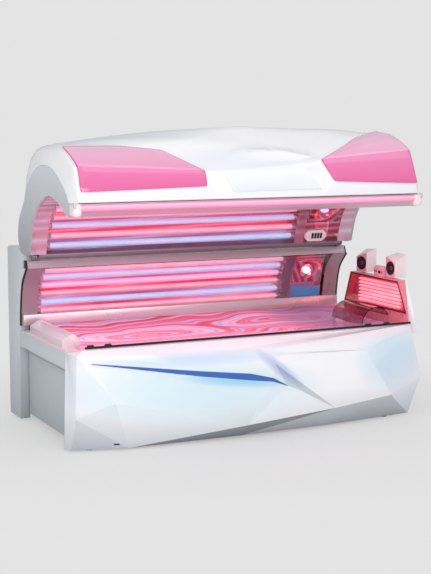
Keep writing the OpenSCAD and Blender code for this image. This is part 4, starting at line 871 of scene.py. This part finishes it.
# Shoulder unit: small lamps behind the glass, each with a holder at both ends
headLamp = {
    "inset": 0.012, "radius": 0.0078, "sides": 16,
    "tip": (0.002, 0.005),       # length, radius
    "holder": (0.020, 0.005),    # length, half its height
    "holderForm": (8.0, 8, 16),  # power, steps across and around
}
tipLength, tipRadius = headLamp["tip"]
holderLength, holderHalf = headLamp["holder"]
headParts = []
for low, high in solidBoxes("head_lamps"):
    middle = np.array([low[0] + headLamp["inset"], low[1] + headLamp["inset"],
                       (low[2] + high[2]) / 2])
    span = high[1] - low[1] - 2 * headLamp["inset"]
    headParts.append(aimed(turned([
        (0, tipRadius), (tipLength, headLamp["radius"]), (span - tipLength, headLamp["radius"]),
        (span, tipRadius)], headLamp["sides"]), middle, (0, 1, 0)))
    for y in (low[1], high[1] - holderLength):
        headParts.append(pebble((low[0], y, middle[2] - holderHalf),
                                (high[0], y + holderLength, middle[2] + holderHalf),
                                *headLamp["holderForm"]))
makePiece("headTubes", headParts, [headLampPink], "base", ["head_lamps"])

# Dark trim round the shoulder unit's window, a little outside its outline
windowTrim = {"grow": [1, 1.012, 1.018], "thick": 0.0028}
windowLine = outlineOf("head_window")
windowMiddle = windowLine.mean(0)
trimLine = windowMiddle + (windowLine - windowMiddle) * np.array(windowTrim["grow"])
makePiece("windowTrim", [wire(trimLine, (-1, 0, 0), windowTrim["thick"])], [maroon], "base")

# Loudspeaker cones: dark middle and black surround
cone = {
    "shape": [(0.001, 0.002), (0.0015, 0.007), (0.004, 0.0115), (0.0075, 0.0125), (0.002, 0.0275),
              (-0.0008, 0.0290), (-0.0016, 0.0305), (-0.0008, 0.0322), (0.0002, 0.0330),
              (-0.0022, 0.0335), (-0.0022, 0.0432), (0.0, 0.0440), (0.0005, 0.0435),
              (0.0125, 0.0325), (0.0125, 0.004)],
    "slots": [0] * 4 + [1] * 10, "sides": 40,
    "ahead": 0.018,  # from the swivel's axis towards the user
    "up": 0.080,     # above the foot of the speaker's box
}
for name, joint, pieceName in (("speaker_left", "speaker_rear_turn", "coneRear"),
                               ("speaker_right", "speaker_front_turn", "coneFront")):
    turn = math.radians(speakerTurn[name])
    pivot = joints[joint]["pos_m"]
    place = (pivot[0] - cone["ahead"] * math.cos(turn), pivot[1] - cone["ahead"] * math.sin(turn),
             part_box(name)[0].z + cone["up"])
    makePiece(pieceName, [aimed(turned(cone["shape"], cone["sides"], cone["slots"]), place,
                                (math.cos(turn), math.sin(turn), 0))],
              [maroon, blackPlastic, softPink], bodyOf[name])

# Sockets on the console, with their rims
port = {
    "shape": [(0.0006, 0.001), (0.0006, 0.0030), (-0.0014, 0.0034), (-0.0014, 0.0050),
              (0.0, 0.0054)],
    "sides": 20, "across": (0.014, 0.078, 0.094), "up": 0.030,
}
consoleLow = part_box("audio_console")[0]
portPlaces = [(consoleLow.x, consoleLow.y + across, consoleLow.z + port["up"])
              for across in port["across"]]
makePiece("consolePorts", [aimed(turned(port["shape"], port["sides"]), place, (1, 0, 0))
                           for place in portPlaces], [blackPlastic], "base")

# Bulbs in the face units: how far each reaches from its middle
bulb = {"sideLow": [0.026, 0.020, 0.022], "sideHigh": [0.026, 0.014, 0.022],
        "canopy": [0.030, 0.016, 0.016], "power": 2.2}
dishMiddle = (unitBoxes[0][0] + unitBoxes[0][1]) / 2
makePiece("sideBulb", [pebble(dishMiddle - bulb["sideLow"], dishMiddle + bulb["sideHigh"],
                              bulb["power"])], [bulbGlow], "base")
canopyBulbs = []
for low, high in solidBoxes("canopy_face_unit"):
    middle = (low + high) / 2
    canopyBulbs.append(pebble(middle - bulb["canopy"], middle + bulb["canopy"], bulb["power"]))
makePiece("canopyBulbs", canopyBulbs, [bulbBlue], "canopy")

# Rounded caps on the ends of the handle, measured from the rail's box
handleCap = {"left": (-0.016, 0.035), "right": (-0.040, 0.018), "y": (-0.003, 0.075),
             "z": (0.006, 0.004), "power": 5.0}
railLow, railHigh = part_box("handle_rail")
capParts = []
for endX, (start, stop) in ((railLow.x, handleCap["left"]), (railHigh.x, handleCap["right"])):
    capParts.append(pebble(
        (endX + start, railLow.y + handleCap["y"][0], railLow.z + handleCap["z"][0]),
        (endX + stop, railLow.y + handleCap["y"][1], railHigh.z + handleCap["z"][1]),
        handleCap["power"]))
makePiece("handleCaps", capParts, [speakerWhite], "canopy")

# Screws in the back sheet and the tower covers
screw = {
    "shape": [(-0.0004, 0.0008), (-0.0004, 0.0016), (-0.0018, 0.0018), (-0.0020, 0.0030),
              (-0.0012, 0.0042), (0.0, 0.0046), (0.0004, 0.0046)],
    "sides": 12, "proud": 0.0002, "edge": 0.03, "rows": 5, "columns": 9,
    "towerCount": 4, "towerFoot": 0.06, "towerTop": 0.10,
}


def screwRow(name, places):
    makePiece(name, [aimed(turned(screw["shape"], screw["sides"]), place, (0, -1, 0))
                     for place in places], [steel], "base")


backLow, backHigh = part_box("rear_cover")
rows = np.linspace(backLow.z + screw["edge"], backHigh.z - screw["edge"], screw["rows"])
columns = np.linspace(backLow.x + screw["edge"], backHigh.x - screw["edge"], screw["columns"])
backY = backHigh.y + screw["proud"]
places = [(x, backY, z) for x in (columns[0], columns[-1]) for z in rows]
places += [(x, backY, z) for x in columns[1:-1] for z in (rows[0], rows[-1])]
screwRow("backScrews", places)
for name, pieceName in (("left_tower_cover", "leftScrews"), ("right_tower_cover", "rightScrews")):
    low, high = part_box(name)
    heights = np.linspace(low.z + screw["towerFoot"], high.z - screw["towerTop"],
                          screw["towerCount"])
    screwRow(pieceName, [((low.x + high.x) / 2, high.y + screw["proud"], z) for z in heights])

# Wire guard over the fan: hoops and spokes
guard = {"hoops": (0.022, 0.047, 0.072, 0.097, 0.122, 0.148), "thick": 0.0016, "ahead": 0.003,
         "hoopSides": (72, 6), "spokes": 8, "spokeStart": 0.018, "spokeLength": 0.134,
         "spokeSides": 6}
fanLow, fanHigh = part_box("fan_housing")
fanMiddle = np.array([(fanLow.x + fanHigh.x) / 2, backHigh.y + guard["ahead"],
                      (fanLow.z + fanHigh.z) / 2])
guardParts = [aimed(hoop(radius, guard["thick"], *guard["hoopSides"]), fanMiddle, (0, 1, 0))
              for radius in guard["hoops"]]
spokeShape = [(0, guard["thick"]), (guard["spokeLength"], guard["thick"])]
for k in range(guard["spokes"]):
    angle = k * 2 * math.pi / guard["spokes"]
    spoke = np.array([math.cos(angle), 0, math.sin(angle)])
    guardParts.append(aimed(turned(spokeShape, guard["spokeSides"]),
                            fanMiddle + guard["spokeStart"] * spoke, spoke))
makePiece("fanGuard", guardParts, [blackPlastic], "base")

# Small dark service slot low on the fascia
slot = {"place": [-0.9132, -0.5335, 0.0372], "normal": [-0.253, -0.919, -0.302],
        "proud": 0.0003, "half": [0.0012, 0.016, 0.0045],
        "form": (6.0, 8, 24)}  # power, steps across and around
slotNormal = np.array(slot["normal"])
slotHalf = np.array(slot["half"])
makePiece("fasciaSlot", [aimed(pebble(-slotHalf, slotHalf, *slot["form"]),
                               np.array(slot["place"]) + slotNormal * slot["proud"],
                               -slotNormal)], [rubber], "base")
print("fittings made")


# Floor, light and camera
backdrop = shade("e4e4e4")
floorLook = {"reach": 30.0, "fade": (0.6, 2.6), "glow": (0.5, 1.0)}  # glow from near to far


def makeFloor():
    reach = floorLook["reach"]
    mesh = bpy.data.meshes.new("floor")
    mesh.from_pydata([(-reach, -reach, 0), (reach, -reach, 0), (reach, reach, 0),
                      (-reach, reach, 0)], [], [(0, 1, 2, 3)])
    floor = bpy.data.objects.new("floor", mesh)
    bpy.context.scene.collection.objects.link(floor)
    mat, tree, shader = newMaterial("paleFloor", Base_Color=backdrop, Roughness=0.8)
    far = put(tree, "ShaderNodeVectorMath", operation="LENGTH")
    tree.links.new(objectPlace(tree), far.inputs[0])
    fade = spread(tree, far.outputs["Value"], *floorLook["fade"], *floorLook["glow"])
    glow = put(tree, "ShaderNodeEmission", in_Color=backdrop)
    rays = put(tree, "ShaderNodeLightPath")
    mix = put(tree, "ShaderNodeMixShader")
    seen = maths(tree, "MULTIPLY", fade, rays.outputs["Is Camera Ray"])
    tree.links.new(seen, mix.inputs[0])
    tree.links.new(shader.outputs[0], mix.inputs[1])
    tree.links.new(glow.outputs[0], mix.inputs[2])
    tree.links.new(mix.outputs[0], tree.nodes["Material Output"].inputs["Surface"])
    mesh.materials.append(mat)
    floor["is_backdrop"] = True


studio = {"colour": "f2f2f5", "strength": 0.62}


def makeWorld():
    world = bpy.data.worlds.new("studio")
    world.use_nodes = True
    bpy.context.scene.world = world
    tree = world.node_tree
    back = tree.nodes["Background"]
    back.inputs["Color"].default_value = shade(studio["colour"])
    back.inputs["Strength"].default_value = studio["strength"]
    shown = put(tree, "ShaderNodeBackground", in_Color=backdrop)
    rays = put(tree, "ShaderNodeLightPath")
    mix = put(tree, "ShaderNodeMixShader")
    tree.links.new(rays.outputs["Is Camera Ray"], mix.inputs[0])
    tree.links.new(back.outputs[0], mix.inputs[1])
    tree.links.new(shown.outputs[0], mix.inputs[2])
    tree.links.new(mix.outputs[0], tree.nodes["World Output"].inputs["Surface"])


# Area light that looks from place at target; size is its width and height
def softLight(name, place, target, size, watts, colour=(1, 1, 1)):
    data = bpy.data.lights.new(name, "AREA")
    data.shape = "RECTANGLE"
    data.size, data.size_y = size
    data.energy = watts
    data.color = colour
    light = bpy.data.objects.new(name, data)
    bpy.context.scene.collection.objects.link(light)
    light.location = place
    way = np.array(target) - np.array(place)
    light.rotation_euler = (math.atan2(math.hypot(way[0], way[1]), -way[2]), 0,
                            math.atan2(way[1], way[0]) - math.pi / 2)
    return light


photoView = {"lens": 82.9, "place": (-3.5300, -7.2996, 1.8553), "down": 7.32, "turn": -25.52}


def makeCamera():
    data = bpy.data.cameras.new("photoView")
    data.lens = photoView["lens"]
    data.sensor_width = 36.0
    data.clip_end = 100.0
    camera = bpy.data.objects.new("photoView", data)
    bpy.context.scene.collection.objects.link(camera)
    camera.location = photoView["place"]
    camera.rotation_euler = (math.radians(90 - photoView["down"]), 0,
                             math.radians(photoView["turn"]))
    bpy.context.scene.camera = camera


makeFloor()
makeWorld()
softLight("topBox", (0.5, -1.5, 4.2), (0.0, 0.0, 0.8), (4.5, 3.0), 34)
softLight("frontBox", (-1.2, -5.2, 1.6), (0.1, 0.0, 0.6), (3.6, 2.4), 86)
softLight("sideBox", (-4.2, -1.4, 3.2), (0.0, 0.0, 1.2), (2.6, 2.2), 40)
lampSpill = softLight("lampSpill", (0.0, -0.15, 0.98), (0.0, -0.45, 0.5), (2.0, 0.3), 3.0,
                      shade("ffc9dd")[:3])
for ray in ("camera", "glossy", "transmission"):
    setattr(lampSpill, f"visible_{ray}", False)
backLight = softLight("backBox", (1.6, 4.5, 2.6), (0.0, 0.0, 0.7), (4.0, 2.5), 34)
backLight.visible_glossy = False
makeCamera()
bpy.context.scene.view_settings.view_transform = "Standard"
print("scene lit")

low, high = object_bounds()
